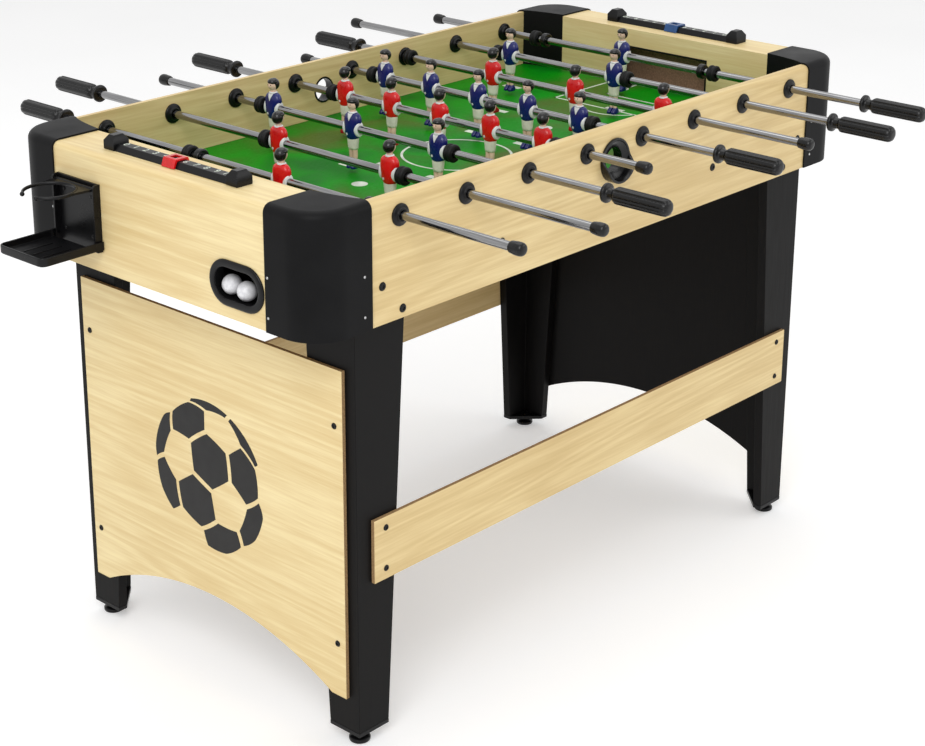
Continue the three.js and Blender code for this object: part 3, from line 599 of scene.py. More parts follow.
def corner_cap():
    """The corner cap at the back right. In plan, u runs from the side arm round the corner to the end arm. At
    each u the section is a loop: up the outer skin, over the round edge, across the flat top to the inner
    curve, down the wedge in the field's corner, and back over the boards and down the skin's inner face."""
    straight = np.linspace(0, 1, 5)
    lengths = np.concatenate([straight, 1 + np.linspace(0, 1, 25)[1:], 2 + straight[1:]])
    middle_x, middle_y = HALF_LENGTH - CAP_CORNER, HALF_WIDTH - CAP_CORNER
    wall_x, wall_y, bend = WALL_INNER - 0.05, SIDE_INNER - 0.05, (501.9, 268.9)

    def skin(inset):
        side, corner, end = (np.clip(lengths - start, 0, 1) for start in range(3))
        turn = (1 - corner) * np.pi / 2
        x = CAP_SIDE_START + side * (middle_x - CAP_SIDE_START) + (CAP_CORNER - inset) * np.cos(turn)
        y = middle_y - end * (middle_y - CAP_END_START) + (CAP_CORNER - inset) * np.sin(turn)
        return np.stack([x, y], -1)

    def over_edge(inset, angles):
        """The skin's rows over the round edge, on a quarter circle less the inset."""
        radius = CAP_EDGE - inset
        return [laid(skin(inset + radius * (1 - math.cos(t))), "z", TOP - CAP_EDGE + radius * math.sin(t))
                for t in angles]

    u = lengths[:, None] / 3
    curve = (1 - u) ** 2 * (CAP_SIDE_START, LEG_Y) + 2 * u * (1 - u) * bend
    curve = curve + u**2 * (WALL_INNER - GAP, CAP_END_START)
    wedge = np.hstack([np.interp(u, [0, 0.5], [CAP_SIDE_START, wall_x]),
                       np.interp(u, [0.5, 1], [wall_y, CAP_END_START])])
    turn = np.linspace(0, np.pi / 2, 7)
    loop = [laid(skin(0), "z", APRON_BOTTOM), *over_edge(0, turn)]
    loop += [laid(curve, "z", z) for z in (TOP, FIELD_TOP + GAP)]
    loop += [laid(wedge, "z", z) for z in (FIELD_TOP + GAP, TOP - CAP_SKIN)]
    loop += [*over_edge(CAP_SKIN, turn[::-1]), laid(skin(CAP_SKIN), "z", APRON_BOTTOM)]
    return surface(np.stack(loop, 1))


def cap_screws():
    """The two small screws in each arm of the back right corner cap."""
    screw = bolt_head(1.9, 0.8).scaled(y=-1)
    arms = screw.at(505, HALF_WIDTH) + screw.swapped().at(HALF_LENGTH, 218)
    return together(arms.at(z=z) for z in (687, 633))


def oval(radius):
    """The ball return's outline: two half circles joined by straight sides, along y."""
    right = arc(RETURN_Y + RETURN_STRAIGHT, RETURN_Z, radius, -0.25, 0.25)
    left = arc(RETURN_Y - RETURN_STRAIGHT, RETURN_Z, radius, 0.25, 0.75)
    return np.vstack([right, left])


def ball_return():
    """The left ball return: a rim and sleeve as a loop of (radius, x) carried round an oval, and the bed of
    the chute that comes down behind it."""
    rim = [(21.6, -588.3), (21.6, -590.2), (24.2, -590.7), (29.6, -590.7), (31.6, -589.2), (31.6, -587.5)]
    rim += [(27.5, -587.5), (27.5, -571), (25, -571), (25, -586.4), (22.6, -587)]
    loop = eased(rim, [0.8, 0.8, 1.2, 2, 1, 0.2, 0, 0, 0, 1, 0.8], 3)
    sleeve = surface(np.stack([laid(oval(r), "x", x) for r, x in loop]), round_u=True, ends=False)
    floor, low, level, high = RETURN_Z - 25, -205.5, -138, 95.5
    top = RETURN_Z + 19
    bed = [(low, floor - 2.5), (level, floor - 2.5), (high, floor + 35.5), (high, top), (high - 2.5, top)]
    bed += [(high - 2.5, floor + 38), (level, floor), (low + 2.5, floor), (low + 2.5, top), (low, top)]
    return sleeve + board(bed, "x", -571.9, -521.5)


def balls():
    """The two balls that lie in the left ball return."""
    one = ball(13.5, 24, 48)
    return one.at(-570, -128.5, 651.8) + one.at(-571, -158.5, 649.6)


def ball_entry():
    """The front ball entry: a funnel whose wall is a closed loop of (radius, distance out) carried once
    round, with its lip's distance out swelling from 3 over the top to 15 at the bottom."""
    angle = round_angles(64)
    out = 3 + 12 * smooth(-np.sin(angle), -0.25, 0.45)
    wall = [(18.2, -16.3), (18.2, -1.5), (20, -0.2), (27.4, 2.4), (28, out - 1), (28.7, out), (31.2, out)]
    wall += [(32, out - 0.9), (32, 0), (20.7, 0), (20.7, -16.3)]
    points = [np.stack([r * np.cos(angle), 0 * angle - SIDE_FACE - GAP - d, r * np.sin(angle)], -1)
              for r, d in wall]
    return surface(np.array(points), round_u=True, ends=False).at(z=ENTRY_HEIGHT)


def playing_field():
    """The field board, let into the grooves of the boards round it."""
    outline = rectangle(both(WALL_INNER + 3.7), both(SIDE_INNER + 3.7))
    return board(outline, "z", FIELD_BOTTOM, FIELD_TOP, (1, 1, 0))


def printed(outline):
    """A printed patch with the given outline, as a thin piece in the field's surface."""
    return board(outline, "z", FIELD_TOP - 0.2, FIELD_TOP + 0.12)


def printed_spot(x, y, radius=9, steps=32):
    return printed(arc(x, y, radius, 0, 1, steps)[:-1])


def line(a, b):
    """A printed line between two points."""
    a, b = np.asarray(a, float), np.asarray(b, float)
    along = (b - a) / np.linalg.norm(b - a)
    side, end = np.array([-along[1], along[0]]) * LINE_HALF, along * LINE_HALF
    return printed([a - side - end, b - side + end, b + side + end, a + side - end])


def ring_line(x, y, radius, start=0.0, end=1.0):
    """A printed arc: the outer edge one way and the inner edge back, or a whole ring in two halves."""
    if end - start >= 1:
        return ring_line(x, y, radius, 0, 0.5) + ring_line(x, y, radius, 0.5, 1)
    outer, inner = radius + LINE_HALF, radius - LINE_HALF
    return printed(np.vstack([arc(x, y, outer, start, end, 32), arc(x, y, inner, end, start, 32)]))


def field_marks():
    """Centre circle and line, penalty boxes with their arcs, spots and short bars. The print lies a little
    off the board's middle."""
    cx, cy = -17.0, -16.0
    box, goal_box = (365, 110), (443, 62)
    bars = [(-151, 78), (111, 62), (111, -38), (237, 124), (371, 210), (371, -10)]
    marks = [ring_line(cx, cy, 83), line((cx, -SIDE_INNER), (cx, SIDE_INNER)), printed_spot(cx, cy)]
    for sx in (-1, 1):
        for depth, half in (box, goal_box):
            front = cx + sx * depth
            marks.append(line((front, cy - half), (front, cy + half)))
            marks += [line((front, cy + y), (sx * WALL_INNER, cy + y)) for y in both(half)]
        middle = 0.0 if sx < 0 else 0.5
        marks.append(ring_line(cx + sx * (box[0] + 30), cy, 62, middle - 0.17, middle + 0.17))
        marks.append(printed_spot(cx + sx * 207, cy, 12))
        marks.append(printed_spot(cx + sx * 488, cy + sx * 62, steps=24))
    for x, y in bars:
        for sign in (-1, 1):
            bx, by = cx + sign * x, cy + sign * y
            marks.append(printed(eased(rectangle((bx - 6, bx + 6), (by - 18, by + 18)), 1.5)))
    return together(marks)


def board_bolts():
    """The bolt heads on the front side board."""
    places = [(s * x, z) for s in (-1, 1) for x, z in [(471, 665), (434, 626), (241, 668)]]
    return heads(6, 1.6, -SIDE_FACE, places)


pair("side_board_{}", SIDES, side_board(), [maple_sides_painted_shade], "side_panel_{}", "maple_board", bevel=0.6)
fitting("bearings_{}", SIDES, together(bearing().at(rod_place(i), 0, ROD_HEIGHT) for i in range(8)), sharp=50)
fitting("board_bolts_{}", SIDES, board_bolts())
rail_finishes = [maple_ends_painted_light, black_foil, behind_goal_painted_lit]
pair("rail_{}", ENDS, end_rail(), rail_finishes, "end_rail_{}", "maple_board", bevel=0.6)
fitting("goal_frame_{}", ENDS, goal_frame(), bevel=0.3)
cap, screws = corner_cap(), cap_screws()
for corner, sx, sy in CORNERS:
    piece(f"cap_{corner}", cap.scaled(sx, sy), [cap_plastic], f"corner_cap_{corner}",
          bevel=0.7, sharp=50)
    piece(f"cap_screws_{corner}", screws.scaled(sx, sy), [screw_zinc])
pair("return_{}", ENDS, ball_return(), [fitting_plastic], "ball_return_{}", "gloss_black", sharp=40)
piece("balls_left", balls(), [ball_white])
pair("entry_{}", SIDES, ball_entry(), [gloss_black], "ball_entry_{}", "gloss_black", sharp=40)
piece("field_board", playing_field(), [field_print, board_edge], "playfield")
piece("field_lines", field_marks(), [white_print])

# ---- legs, lower panels, stretchers


def leg_boards():
    """The front left leg: an L of two boards whose width grows from 57 at the foot to 96 at the top."""
    rows = []
    for width, z in [(57, LEG_BOTTOM), (96, LEG_TOP)]:
        outline = [(0, 0), (width, 0), (width, BOARD), (BOARD, BOARD), (BOARD, width), (0, width)]
        rows.append(laid(outline, "z", z))
    return surface(np.stack(rows)).at(-LEG_X, -LEG_Y)


def foot_plate():
    """The front left foot: a corner plate under the leg, cut off straight from one board's end to the
    other's, and a round pad on its threaded stem."""
    plate = board([(0, 0), (57, 0), (57, BOARD), (BOARD, 57), (0, 57)], "z", 17, 23)
    thread = np.stack([5 - 0.5 * (np.arange(24) % 2), np.linspace(9, 13, 24)], -1)
    profile = [(0, 0), (13, 0), (14.4, 0.6), (15, 2), (15, 5), (13.6, 6.6), (8, 8.6), (6.5, 9)]
    pad = turned(np.vstack([profile, thread, [(5, 21), (0, 21)]]), "z", 48)
    return (plate + pad.at(19, 19)).at(-LEG_X, -LEG_Y)


def lower_panel():
    """The left lower end panel, with an arch of a circle through its three points cut in its lower edge."""
    rise, span = 59, PANEL_HALF - 28
    radius = (span**2 + rise**2) / (2 * rise)
    angle = math.asin(span / radius) / (2 * math.pi)
    arch = arc(0, PANEL_BOTTOM + rise - radius, radius, 0.25 + angle, 0.25 - angle, 48)
    start, *others = rectangle(both(PANEL_HALF), (PANEL_BOTTOM, PANEL_TOP))
    return board(np.vstack([[start], arch, others]), "x", -PANEL_FACE, -PANEL_INNER, (2, 0, 1))


def panel_screws():
    """The screws near the corners of the left lower panel."""
    places = [(y, z) for y in both(PANEL_HALF - BOARD) for z in (PANEL_TOP - 80, PANEL_BOTTOM + 80)]
    return heads(SCREW_RADIUS, SCREW_HEIGHT, 0, places).swapped().at(-PANEL_FACE)


def football_figure():
    """A plain football on the left lower panel: the hexagons of a truncated icosahedron, each drawn in a
    little towards its middle, on a sphere of radius 115 seen from outside."""
    golden = (1 + 5**0.5) / 2
    tips = np.array([(0, a, b * golden) for a in (1, -1) for b in (1, -1)])
    tips = np.vstack([np.roll(tips, k, 1) for k in range(3)])
    tips /= np.linalg.norm(tips[0])
    turn = Matrix.Rotation(math.radians(23), 3, "Z") @ Matrix.Rotation(math.radians(14), 3, "Y")
    tips = tips @ np.array(turn).T
    steps = np.linspace(0, 1, 7)[:-1, None, None]
    patches = []
    for a, b, c in combinations(tips, 3):
        # three tips of one face lie 1.05 apart, and all others further
        if max(np.linalg.norm(p - q) for p, q in combinations((a, b, c), 2)) > 1.2:
            continue
        ring = np.array([p + (q - p) / 3 for p, q in ((a, b), (b, a), (b, c), (c, b), (c, a), (a, c))])
        middle = ring.mean(0)
        # a face on the far side is not seen
        if middle[0] > -0.06:
            continue
        ring = middle + (ring - middle) * 0.9
        drawn = (ring * (1 - steps) + np.roll(ring, -1, 0) * steps).transpose(1, 0, 2).reshape(-1, 3)
        drawn /= np.linalg.norm(drawn, axis=1, keepdims=True)
        behind, flat = drawn[:, 0] > 0, drawn[:, 1:]
        flat[behind] /= np.linalg.norm(flat[behind], axis=1, keepdims=True)
        patches.append(board(flat * 115 + (0, 318), "x", -PANEL_FACE - 0.2, -PANEL_FACE + 0.2))
    return together(patches)


def stretcher_board():
    """The front stretcher, its long narrow edges raw."""
    outline = rectangle(both(STRETCHER_HALF), (STRETCHER_BOTTOM, STRETCHER_TOP))
    return board(outline, "y", -STRETCHER_FACE, -SIDE_INNER, (1, 0, 0))


def stretcher_screws():
    """The screws at the two ends of the front stretcher."""
    places = [(x, z) for x in both(STRETCHER_HALF - 22) for z in (STRETCHER_BOTTOM + 16, STRETCHER_TOP - 16)]
    return heads(SCREW_RADIUS, SCREW_HEIGHT, -STRETCHER_FACE, places)


for corner, sx, sy in CORNERS:
    leg, plate = leg_boards().scaled(-sx, -sy), foot_plate().scaled(-sx, -sy)
    piece(f"leg_boards_{corner}", leg, [black_foil], f"leg_{corner}", bevel=0.8)
    piece(f"foot_plate_{corner}", plate, [fitting_plastic], f"foot_{corner}", bevel=0.6)
panel_finishes = [maple_ends_painted_light, black_foil, board_edge]
pair("lower_board_{}", ENDS, lower_panel(), panel_finishes, "lower_panel_{}", "maple_board", bevel=0.5)
fitting("panel_screws_{}", ENDS, panel_screws())
pair("football_{}", ENDS, football_figure(), [black_print], slot="maple_board")
stretcher_finishes = [maple_sides_painted_shade, board_edge]
pair("stretcher_board_{}", SIDES, stretcher_board(), stretcher_finishes, "stretcher_{}", "maple_board",
     bevel=0.5)
fitting("stretcher_screws_{}", SIDES, stretcher_screws())

# ---- score rails


def score_section(margin):
    """The score strip's section, drawn out by a margin."""
    foot, roof, top = 12 + margin, 7.5 + margin, SCORE_BASE + SCORE_RISE + margin
    return [(-SCORE_X - foot, SCORE_BASE), (-SCORE_X + foot, SCORE_BASE),
            (-SCORE_X + roof, top), (-SCORE_X - roof, top)]


def score_strip():
    """The left score rail: the strip, and at each end a block with a flat roof and sloping sides, whose
    rectangles shrink upwards."""
    rows = [laid(rectangle(both(13.5 - shrink), both(11 - shrink)), "z", SCORE_BASE + height)
            for height, shrink in [(0, 0), (12, 0), (20, 5.5)]]
    end_block = surface(np.array(rows)).at(-SCORE_X)
    return board(score_section(0), "y", *both(126)) + end_block.at(y=124) + end_block.at(y=-124)


def numerals():
    """The plain numbers 0 to 10 along the left score strip, a little proud of it and read from outside."""
    made = []
    for value in range(11):
        text = bpy.data.curves.new("numeral", "FONT")
        text.body, text.size, text.extrude = str(value), 14.5, 0.12
        text.align_x = text.align_y = "CENTER"
        obj = in_scene("numeral", text)
        mesh = bpy.data.meshes.new_from_object(obj.evaluated_get(bpy.context.evaluated_depsgraph_get()))
        lying = shape_of(mesh, 1).swapped().scaled(y=-1)
        made.append(lying.at(-SCORE_X, 102 - 20.4 * value, SCORE_BASE + SCORE_RISE + 0.05))
        bpy.data.objects.remove(obj)
        bpy.data.curves.remove(text)
        bpy.data.meshes.remove(mesh)
    return together(made)


def score_clip():
    """The left score marker: a clip over the strip, with a window in its top."""
    shell = board(eased(score_section(3.3), [0, 0, 1.5, 1.5], 4), "y", *both(12.5))
    strip = board(score_section(GAP), "y", *both(20))
    below = block((-600, -500), both(20), (770, SCORE_BASE + GAP))
    window = block((-SCORE_X - 5.5, -SCORE_X + 5.5), both(6.5), (781, 801))
    return cut(shell, [strip, below, window])


fitting("score_strip_{}", ENDS, score_strip(), "score_rail_{}", bevel=0.7)
pair("score_numbers_{}", ENDS, numerals(), [white_print])
pair("score_marker_{}", ENDS, score_clip(), ([red], [blue]), "score_slider_{}", body="score_slider_{}",
     bevel=0.4)

# ---- cup holders


def cup_plate():
    """The left cup holder's bracket: a plate with four studs, and a flange down each side."""
    back = -END_FACE - GAP
    plate = block((back - 3, back), both(45.5), (CUP_BOTTOM, CUP_TOP))
    flange = rectangle((back, back - 12), (CUP_BOTTOM, CUP_TOP))
    flange = board(eased(flange, [0, 6, 6, 0], 6), "y", 42, 45.5)
    stud = turned([(0, 0), (2.6, 0), (2.6, 1.2), (1.6, 1.8), (0, 1.8)], "x", 20).scaled(-1)
    studs = together(stud.at(back - 3, y, z) for y in both(30) for z in (663, 719))
    return (plate + flange + flange.scaled(y=-1) + studs).at(y=CUP_Y)


def cup_hoop():
    """The left cup ring: a web from the hinge that narrows into a round band, open at the front and with a
    small ball on each tip. The band is a round section carried along an arc."""
    centre, middle = -636.7, 36
    angle = np.linspace(math.pi - 0.42, -math.pi + 0.42, 73)
    turn = round_angles(16)
    across = middle + 2.1 * np.cos(turn)
    points = [across * np.cos(angle)[:, None], across * np.sin(angle)[:, None],
              2.5 * np.sin(turn) + 0 * angle[:, None]]
    bead = ball(3.3, 12, 24)
    tips = together(bead.at(37 * math.cos(a), 37 * math.sin(a)) for a in (angle[0], angle[-1]))
    band = (surface(np.stack(points, -1)) + tips).at(centre)
    inner, hub = arc(centre, 0, 35.5, 0.28, -0.28, 28), [(-592.6, -41.5), (-592.6, 41.5)]
    web = board(np.vstack([inner, hub]), "z", -1.6, 1.6)
    knuckle = eased(mirrored((0, -41.6), (3.2, -41.6)), [0, 0.5, 0.5, 0], 2, False)
    hinge = cylinder(2, -45.4, 45.4) + turned(knuckle, steps=24)
    return (band + web + hinge.at(-HINGE_X)).at(0, CUP_Y, HOOP_Z)


def cup_dish():
    """The left cup tray: a shallow dish whose outlines, each (drawn in, height), step down inside its rim.
    Its near side has no rim, so that it clears the bracket as it folds. It hangs on an arm and a pin at each
    side."""
    near, far, half, bottom, top = -600.5, -692.5, 49.5, 647, 659

    def outline(inset):
        side, between, far_x = half - inset, min(45.9, half - inset - 2.2), far + inset
        corners = [(near - inset, y) for y in (-side, -between, between, side)]
        corners += [(far_x, side), (far_x, -side)]
        return eased(corners, [2, 0, 0, 2, 12 - inset, 12 - inset], 6)

    loop = [(1.2, bottom), (0.2, bottom + 1.2), (0, bottom + 4), (0, top - 1), (0.8, top), (2.2, top),
            (3, top - 1), (3.4, bottom + 3.6), (5.2, bottom + 2.5)]
    points = np.stack([laid(outline(inset), "z", z) for inset, z in loop])
    x, y, z = np.moveaxis(points, -1, 0)
    points[..., 2] = np.where((x > near - 6.5) & (np.abs(y) < 46), np.minimum(z, bottom + 2.5), z)
    hanger = block((near - 1, -588.7), (46.5, half), (bottom, top))
    hanger += cylinder(2, 42, 48.5).at(-HINGE_X, 0, TRAY_HINGE_Z)
    rib = block((far + 22, near - 22), both(0.7), (bottom + 2, bottom + 3.4))
    ribs = together(rib.at(y=y) for y in (-20, 0, 20))
    return (surface(points) + hanger + hanger.scaled(y=-1) + ribs).at(y=CUP_Y)


fitting("cup_plate_{}", ENDS, cup_plate(), "cup_bracket_{}", bevel=0.5)
fitting("cup_hoop_{}", ENDS, cup_hoop(), "cup_ring_{}", body="cup_ring_{}", bevel=0.4)
fitting("cup_dish_{}", ENDS, cup_dish(), "cup_tray_{}", body="cup_tray_{}", bevel=0.4)

# ---- men

SHIRT, WHITE, SHORTS, SKIN, HAIR, SHOE = range(6)
ROUNDNESS = 2.4


def stacked(rows, columns=32, power=ROUNDNESS):
    """A closed body of level outlines. Each row is (height, middle x, half depth, half width), and its
    outline is |x / depth|^power + |y / width|^power = 1."""
    angle = round_angles(columns)
    x, y = (np.sign(side) * np.abs(side) ** (2 / power) for side in (np.cos(angle), np.sin(angle)))
    points = [np.stack([middle + depth * x, width * y, 0 * x + z], -1) for z, middle, depth, width in rows]
    return surface(np.array(points))


CHEST = [
    (-18.5, 0.2, 3.0, 2.5), (-17.6, 0.2, 5.2, 5.6), (-15.0, 0.2, 6.8, 9.6), (-11.0, 0.1, 8.0, 12.2),
    (-5.0, 0, 9.0, 13.6), (1.0, 0, 9.3, 14.3), (7.0, 0, 9.0, 14.9), (11.0, 0, 8.6, 15.2),
    (15.5, 0, 8.0, 15.0), (19.0, -0.2, 7.2, 13.6), (21.8, -0.3, 6.0, 11.0), (23.6, -0.4, 4.8, 7.0),
    (24.4, -0.4, 3.5, 4.5),
]


def on_chest(y, z, proud):
    """The x of the shirt's front at (y, z): the half depth there times (1 - |y / half width|^n)^(1 / n),
    where n is the roundness."""
    height, middle, depth, width = np.array(CHEST).T
    d, w, m = (np.interp(z, height, each) for each in (depth, width, middle))
    return m + d * (1 - np.clip(np.abs(y) / w, 0, 0.98) ** ROUNDNESS) ** (1 / ROUNDNESS) + proud


def chest_patch(y, z, proud):
    """A thin patch on the shirt's front over the grid of places (y, z)."""
    front, back = (np.stack([on_chest(y, z, out), y, z], -1) for out in (proud, -1.0))
    patch = surface(np.concatenate([front, back[::-1]]), round_u=True, round_v=False, ends=False)
    for column in (0, -1):
        patch += surface(np.stack([front[:, column], back[:, column]]), round_v=False, ends=False)
    return patch


def head():
    """A plain head: an egg with a small nose and brow, under a leaning cap of hair with a fringe."""
    turn, angle = np.linspace(-np.pi / 2, np.pi / 2, 19), round_angles(28)
    heights = 35.4 + 9.3 * np.sin(turn)
    across = (np.cos(turn) * (1 - 0.16 * smooth(-np.sin(turn), 0.1, 1.0)))[:, None]
    x, y = 8.2 * across * np.cos(angle), 7.5 * across * np.sin(angle)
    ahead = np.exp(-((np.minimum(angle, 2 * np.pi - angle) / 0.22) ** 2))
    nose = np.exp(-(((heights - 34.2) / 1.5) ** 2))[:, None] * ahead * 1.3
    brow = np.exp(-((heights - 38.2) ** 2))[:, None] * np.exp(-((y / 4.5) ** 4)) * (np.cos(angle) > 0) * 0.4
    z = np.broadcast_to(heights[:, None], x.shape)
    face = surface(np.stack([x + nose + brow + 0.4, y, z], -1)).finished(SKIN)
    dome = ball(1, 14, 28)
    lean = [(1, 0, 0.12), (0, 1, 0), (-0.064, 0, 1)]
    hair_cap = Shape(dome.scaled(8.6, 8.3, 9.2).points @ np.array(lean), dome.faces).at(-1.7, 0, 36.5)
    fringe = dome.scaled(8.7, 8.0, 5.3).at(0.3, 0, 40.3)
    eyes = together(cylinder(0.75, -0.25, 0.25, "x", 10).at(8.1, side, 36.3) for side in (-2.7, 2.7))
    return face + (hair_cap + fringe + eyes).finished(HAIR)


def man():
    """One man on the rod's axis, facing +X, with a hub round the rod."""
    hub = eased(mirrored((0, -15), (10.6, -15), (11.6, -13.6)), [0, 1, 1, 1, 1, 0], 2, False)
    collar = eased([(4.0, 22.2), (6.6, 22.8), (6.3, 24.6), (4.4, 25.4)], 0.5, 2)
    shorts = stacked([
        (-31.5, 0, 4.6, 7.2), (-31.2, 0, 5.2, 8.0), (-28, 0, 5.6, 8.7), (-20, 0, 6.2, 9.4),
        (-12, 0, 6.6, 10.2), (-4, 0, 6.6, 11.0), (4, 0, 5.0, 9.0)], 32, 2.6)
    leg = stacked([
        (-52, 0.4, 2.6, 2.7), (-47, 0, 3.2, 3.1), (-42, -0.4, 3.9, 3.5), (-37, -0.2, 3.9, 3.7),
        (-33, 0, 3.9, 3.9), (-27, 0, 4.2, 4.0)], 20, 2.2).finished(SKIN)
    shoe = stacked([
        (-60, 1.2, 7.6, 3.7), (-58.5, 1.2, 8.2, 4.1), (-56, 0.9, 7.6, 4.1), (-53.5, 0, 5.4, 3.8),
        (-51.5, -0.4, 4.0, 3.4), (-50.5, -0.4, 3.6, 3.1)], 24, 2.8).finished(SHOE)
    neck = stacked([(20, -0.2, 4.6, 4.8), (25, -0.2, 4.1, 4.2), (31, 0, 4.3, 4.4)], 24, 2.0)
    down, across = np.linspace(0, 1, 9)[:, None], np.linspace(-1, 1, 9)
    vee = chest_patch(4.6 * (1 - down) * across + 0.15 * across, 22.4 - 10.5 * down + 0 * across, 0.4)
    y, z = (arc(-4.6, -8.2, 1.9, 0, 1, 20)[:-1]).T
    spot = surface(np.stack([np.stack([on_chest(y, z, out), y, z], -1) for out in (-1.0, 0.3, 0.5)]))
    hub, collar = turned(hub).scaled(x=0.66), turned(collar, "z", 28, hollow=True)
    white_parts = hub + collar + vee + spot + spot.half_turn()
    both_legs = together(leg.at(y=3.6 * side) + shoe.at(y=4.2 * side) for side in (-1, 1))
    return together([stacked(CHEST, 36).finished(SHIRT), white_parts.finished(WHITE), shorts.finished(SHORTS),
                     both_legs, neck.finished(SKIN), head()])


# ---- rods, rings, handles


def tube(low, high):
    """The rod's tube: a closed loop of (radius, distance) carried once round."""
    loop = [(ROD_BORE, low), (ROD_RADIUS, low), (ROD_RADIUS, high), (ROD_BORE, high)]
    return turned(loop, steps=40, hollow=True)


def rubber_ring():
    """A rubber bumper: two lobes with a groove between them."""
    loop = mirrored((6.35, -7), (11.2, -7), (13, -5.4), (13, -2), (11.3, -0.9))
    return turned(eased(loop, 1.0, 3), steps=48, hollow=True)


def stop_collar():
    """A goalkeeper's stop collar with round edges."""
    loop = mirrored((6.05, -5), (10.8, -5), (12, -3.6))
    return turned(eased(loop, 1.0, 3), steps=48, hollow=True)


def end_knob():
    """The cap on a rod's plain end, drawn from its mouth towards +Y: a bulb that is fullest near its end."""
    profile = [(0, 0), (7.0, 0), (7.8, 1.0), (8.2, 4), (8.9, 10), (9, 15), (8.5, 18.6), (6.9, 20.9)]
    profile += [(4, 21.9), (0, 22)]
    return turned(eased(profile, 1.2, 2, False), steps=40)


def grip():
    """A handle, drawn from its collar towards +Y: the radius follows a profile of (distance, radius), less
    eight grooves along it, deepest where cos(8 angle) = 1, that fade out towards both ends."""
    along, radius = np.array([
        (-2.5, 0), (-2.5, 6.3), (-2.5, 12.6), (-1.9, 13.3), (-1.0, 13.5), (1.0, 13.5), (1.9, 13.2),
        (2.5, 12.5), (3.2, 9.6), (4.4, 8.3), (6, 8), (10, 8), (13, 8.1), (14, 8.9), (15, 10.2), (16.4, 11.3),
        (18, 11.8), (20, 12), (23, 12), (30, 12), (45, 12), (60, 12), (75, 12), (88, 12), (93, 12),
        (95.6, 11.8), (98, 11.1), (100, 9.7), (101.3, 7.6), (101.9, 5), (102, 2.6), (102, 0)])[:, None].T
    angle = round_angles(128)[:, None]
    depth = 1.7 * smooth(along, 14, 19) * (1 - smooth(along, 97, 101.5))
    radius = radius - depth * np.clip(np.cos(8 * angle), 0, 1) ** 1.5
    points = np.stack([radius * np.cos(angle), along + 0 * angle, radius * np.sin(angle)], -1)
    return surface(points.transpose(1, 0, 2))


GOALIE = {"men": [0], "collars": 164, "ring": 186, "handle": 466, "plain": 421}
DEFENCE = {"men": [-109.4, 109.4], "ring": 134.9, "handle": 515, "plain": 478}
MIDFIELD = {"men": [-198.4, -99.2, 0, 99.2, 198.4], "ring": 223.9, "handle": 449, "plain": 386}
ATTACK = {"men": [-168.9, 0, 168.9], "ring": 194.4, "handle": 469, "plain": 428}
RODS = [
    ("red", GOALIE, -85), ("red", DEFENCE, -54), ("blue", ATTACK, 32.5), ("red", MIDFIELD, -24),
    ("blue", MIDFIELD, 12), ("red", ATTACK, -77), ("blue", DEFENCE, 54), ("blue", GOALIE, 27),
]
LOOSE_RING_ROD = 6
RING_HALF, TUBE_IN_GRIP, KNOB_BACK = 7, 57.2, 19
one_man, one_grip, one_ring, one_collar, one_knob = man(), grip(), rubber_ring(), stop_collar(), end_knob()
TEAM = {"red": [red, white, cream, skin, hair, dark_red], "blue": [navy, white, cream, skin, hair, navy]}


def dressed_rod(number, team, line_up, rest):
    """One rod and what sits on it, at rest from the middle. A red rod's men face right and its handle is at
    the back, and a blue rod's are turned half round."""
    hand = 1 if team == "red" else -1
    handle_y, plain_y, ring_y = hand * line_up["handle"], -hand * line_up["plain"], hand * line_up["ring"]
    x, body = rod_place(number - 1), f"rod_{number}"

    def on_rod(shape, *places):
        """The shape turned towards this rod's team and set on the rod at each place along it."""
        shape = shape if hand > 0 else shape.half_turn()
        return together(shape.at(x, rest + y, ROD_HEIGHT) for y in places)

    def fit(kind, shape, finishes, node=None, rides=body, sharp=50):
        piece(f"{kind}_{number}", shape, finishes, node, rides, sharp=sharp)

    bar = tube(*sorted([plain_y, handle_y + hand * TUBE_IN_GRIP])).at(x, rest, ROD_HEIGHT)
    fit("tube", bar, [steel], f"rod_{number}", sharp=35)
    fit("men", on_rod(one_man, *line_up["men"]), TEAM[team], sharp=60)
    fit("knob", on_rod(one_knob.scaled(y=-1), plain_y + hand * KNOB_BACK), [gloss_black])
    if "collars" in line_up:
        fit("collars", on_rod(one_collar, *both(line_up["collars"])), [gloss_black])
    fit("grip", on_rod(one_grip, handle_y), [gloss_black], f"handle_{number}")
    fit("ring", on_rod(one_ring, -ring_y), [rubber_black], f"bumper_{number}", f"{body}_carrier")
    if number == LOOSE_RING_ROD:
        loose = on_rod(one_ring, SIDE_INNER - BEARING_PROUD - GAP - RING_HALF - rest)
        piece("ring_loose", loose, [rubber_black], "bumper_6_loose", sharp=50)
    else:
        fit("ring_held", on_rod(one_ring, ring_y), [rubber_black])


for number, (team, line_up, rest) in enumerate(RODS, 1):
    dressed_rod(number, team, line_up, rest)

# ---- floor, light and camera


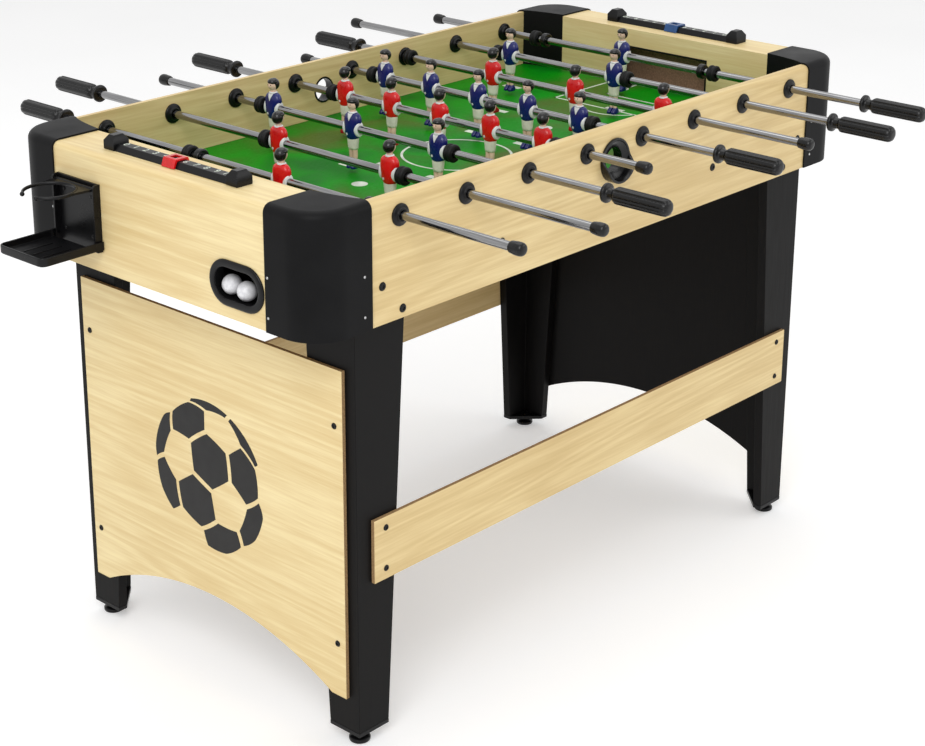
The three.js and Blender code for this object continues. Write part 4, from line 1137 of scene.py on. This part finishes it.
def floor_finish():
    """A pale floor that keeps the table's shadow: plain white to the camera where the light reaches it."""
    made = Finish("pale floor", (242, 242, 242), 0.9, specular=0.1)
    made.paint("Emission Color", (1, 1, 1, 1))
    made.paint("Emission Strength", 0.32)
    made.shades(made.noise(made.stretched(), 2, 2), (0.2, (236, 236, 236)), (0.8, (240, 240, 240)))
    return made.material


def aimed(obj, place, target):
    """Set an object at a place and turn it to look at a target."""
    obj.location = place
    obj.rotation_euler = (Vector(target) - Vector(place)).to_track_quat("-Z", "Y").to_euler()


def soft_light(name, place, power, size):
    """A large square lamp aimed at the table's middle."""
    lamp = bpy.data.lights.new(name, "AREA")
    lamp.energy, lamp.size = power, size
    aimed(in_scene(name, lamp), place, (0, 0, 0.5))


def white_room():
    """White light from all round, which the camera, mirrors and clear pieces see at its full brightness."""
    world = bpy.data.worlds.new("studio")
    world.use_nodes = True
    nodes, links = world.node_tree.nodes, world.node_tree.links
    room, backdrop = nodes["Background"], nodes.new("ShaderNodeBackground")
    mix = nodes.new("ShaderNodeMixShader")
    for light, strength in ((room, 0.55), (backdrop, 1.0)):
        light.inputs["Color"].default_value = (1, 1, 1, 1)
        light.inputs["Strength"].default_value = strength
    path = nodes.new("ShaderNodeLightPath").outputs
    seen = path["Is Camera Ray"]
    for ray in ("Is Glossy Ray", "Is Transmission Ray"):
        either = nodes.new("ShaderNodeMath")
        either.operation, either.use_clamp = "ADD", True
        links.new(seen, either.inputs[0])
        links.new(path[ray], either.inputs[1])
        seen = either.outputs[0]
    for socket, joined in enumerate((seen, room.outputs[0], backdrop.outputs[0])):
        links.new(joined, mix.inputs[socket])
    links.new(mix.outputs[0], nodes["World Output"].inputs["Surface"])
    return world


solid("floor", block(both(9000), both(9000), (-20, -0.5)), [floor_finish()])
soft_light("key light", (-3.2, -2.2, 3.6), 105, 2.6)
soft_light("top light", (0.4, 0.6, 4.2), 42, 3.0)
soft_light("side light", (2.6, -3.4, 2.4), 24, 2.4)

camera = in_scene("camera", bpy.data.cameras.new("camera"))
aimed(camera, (-2.1959, -1.9952, 1.5374), (-0.1168, -0.0633, 0.5652))
camera.data.lens, camera.data.sensor_width = 79.04, 36
camera.data.shift_x, camera.data.shift_y = 0.0302, -0.1297
scene = bpy.context.scene
scene.world, scene.camera = white_room(), camera
scene.view_settings.view_transform = "Standard"
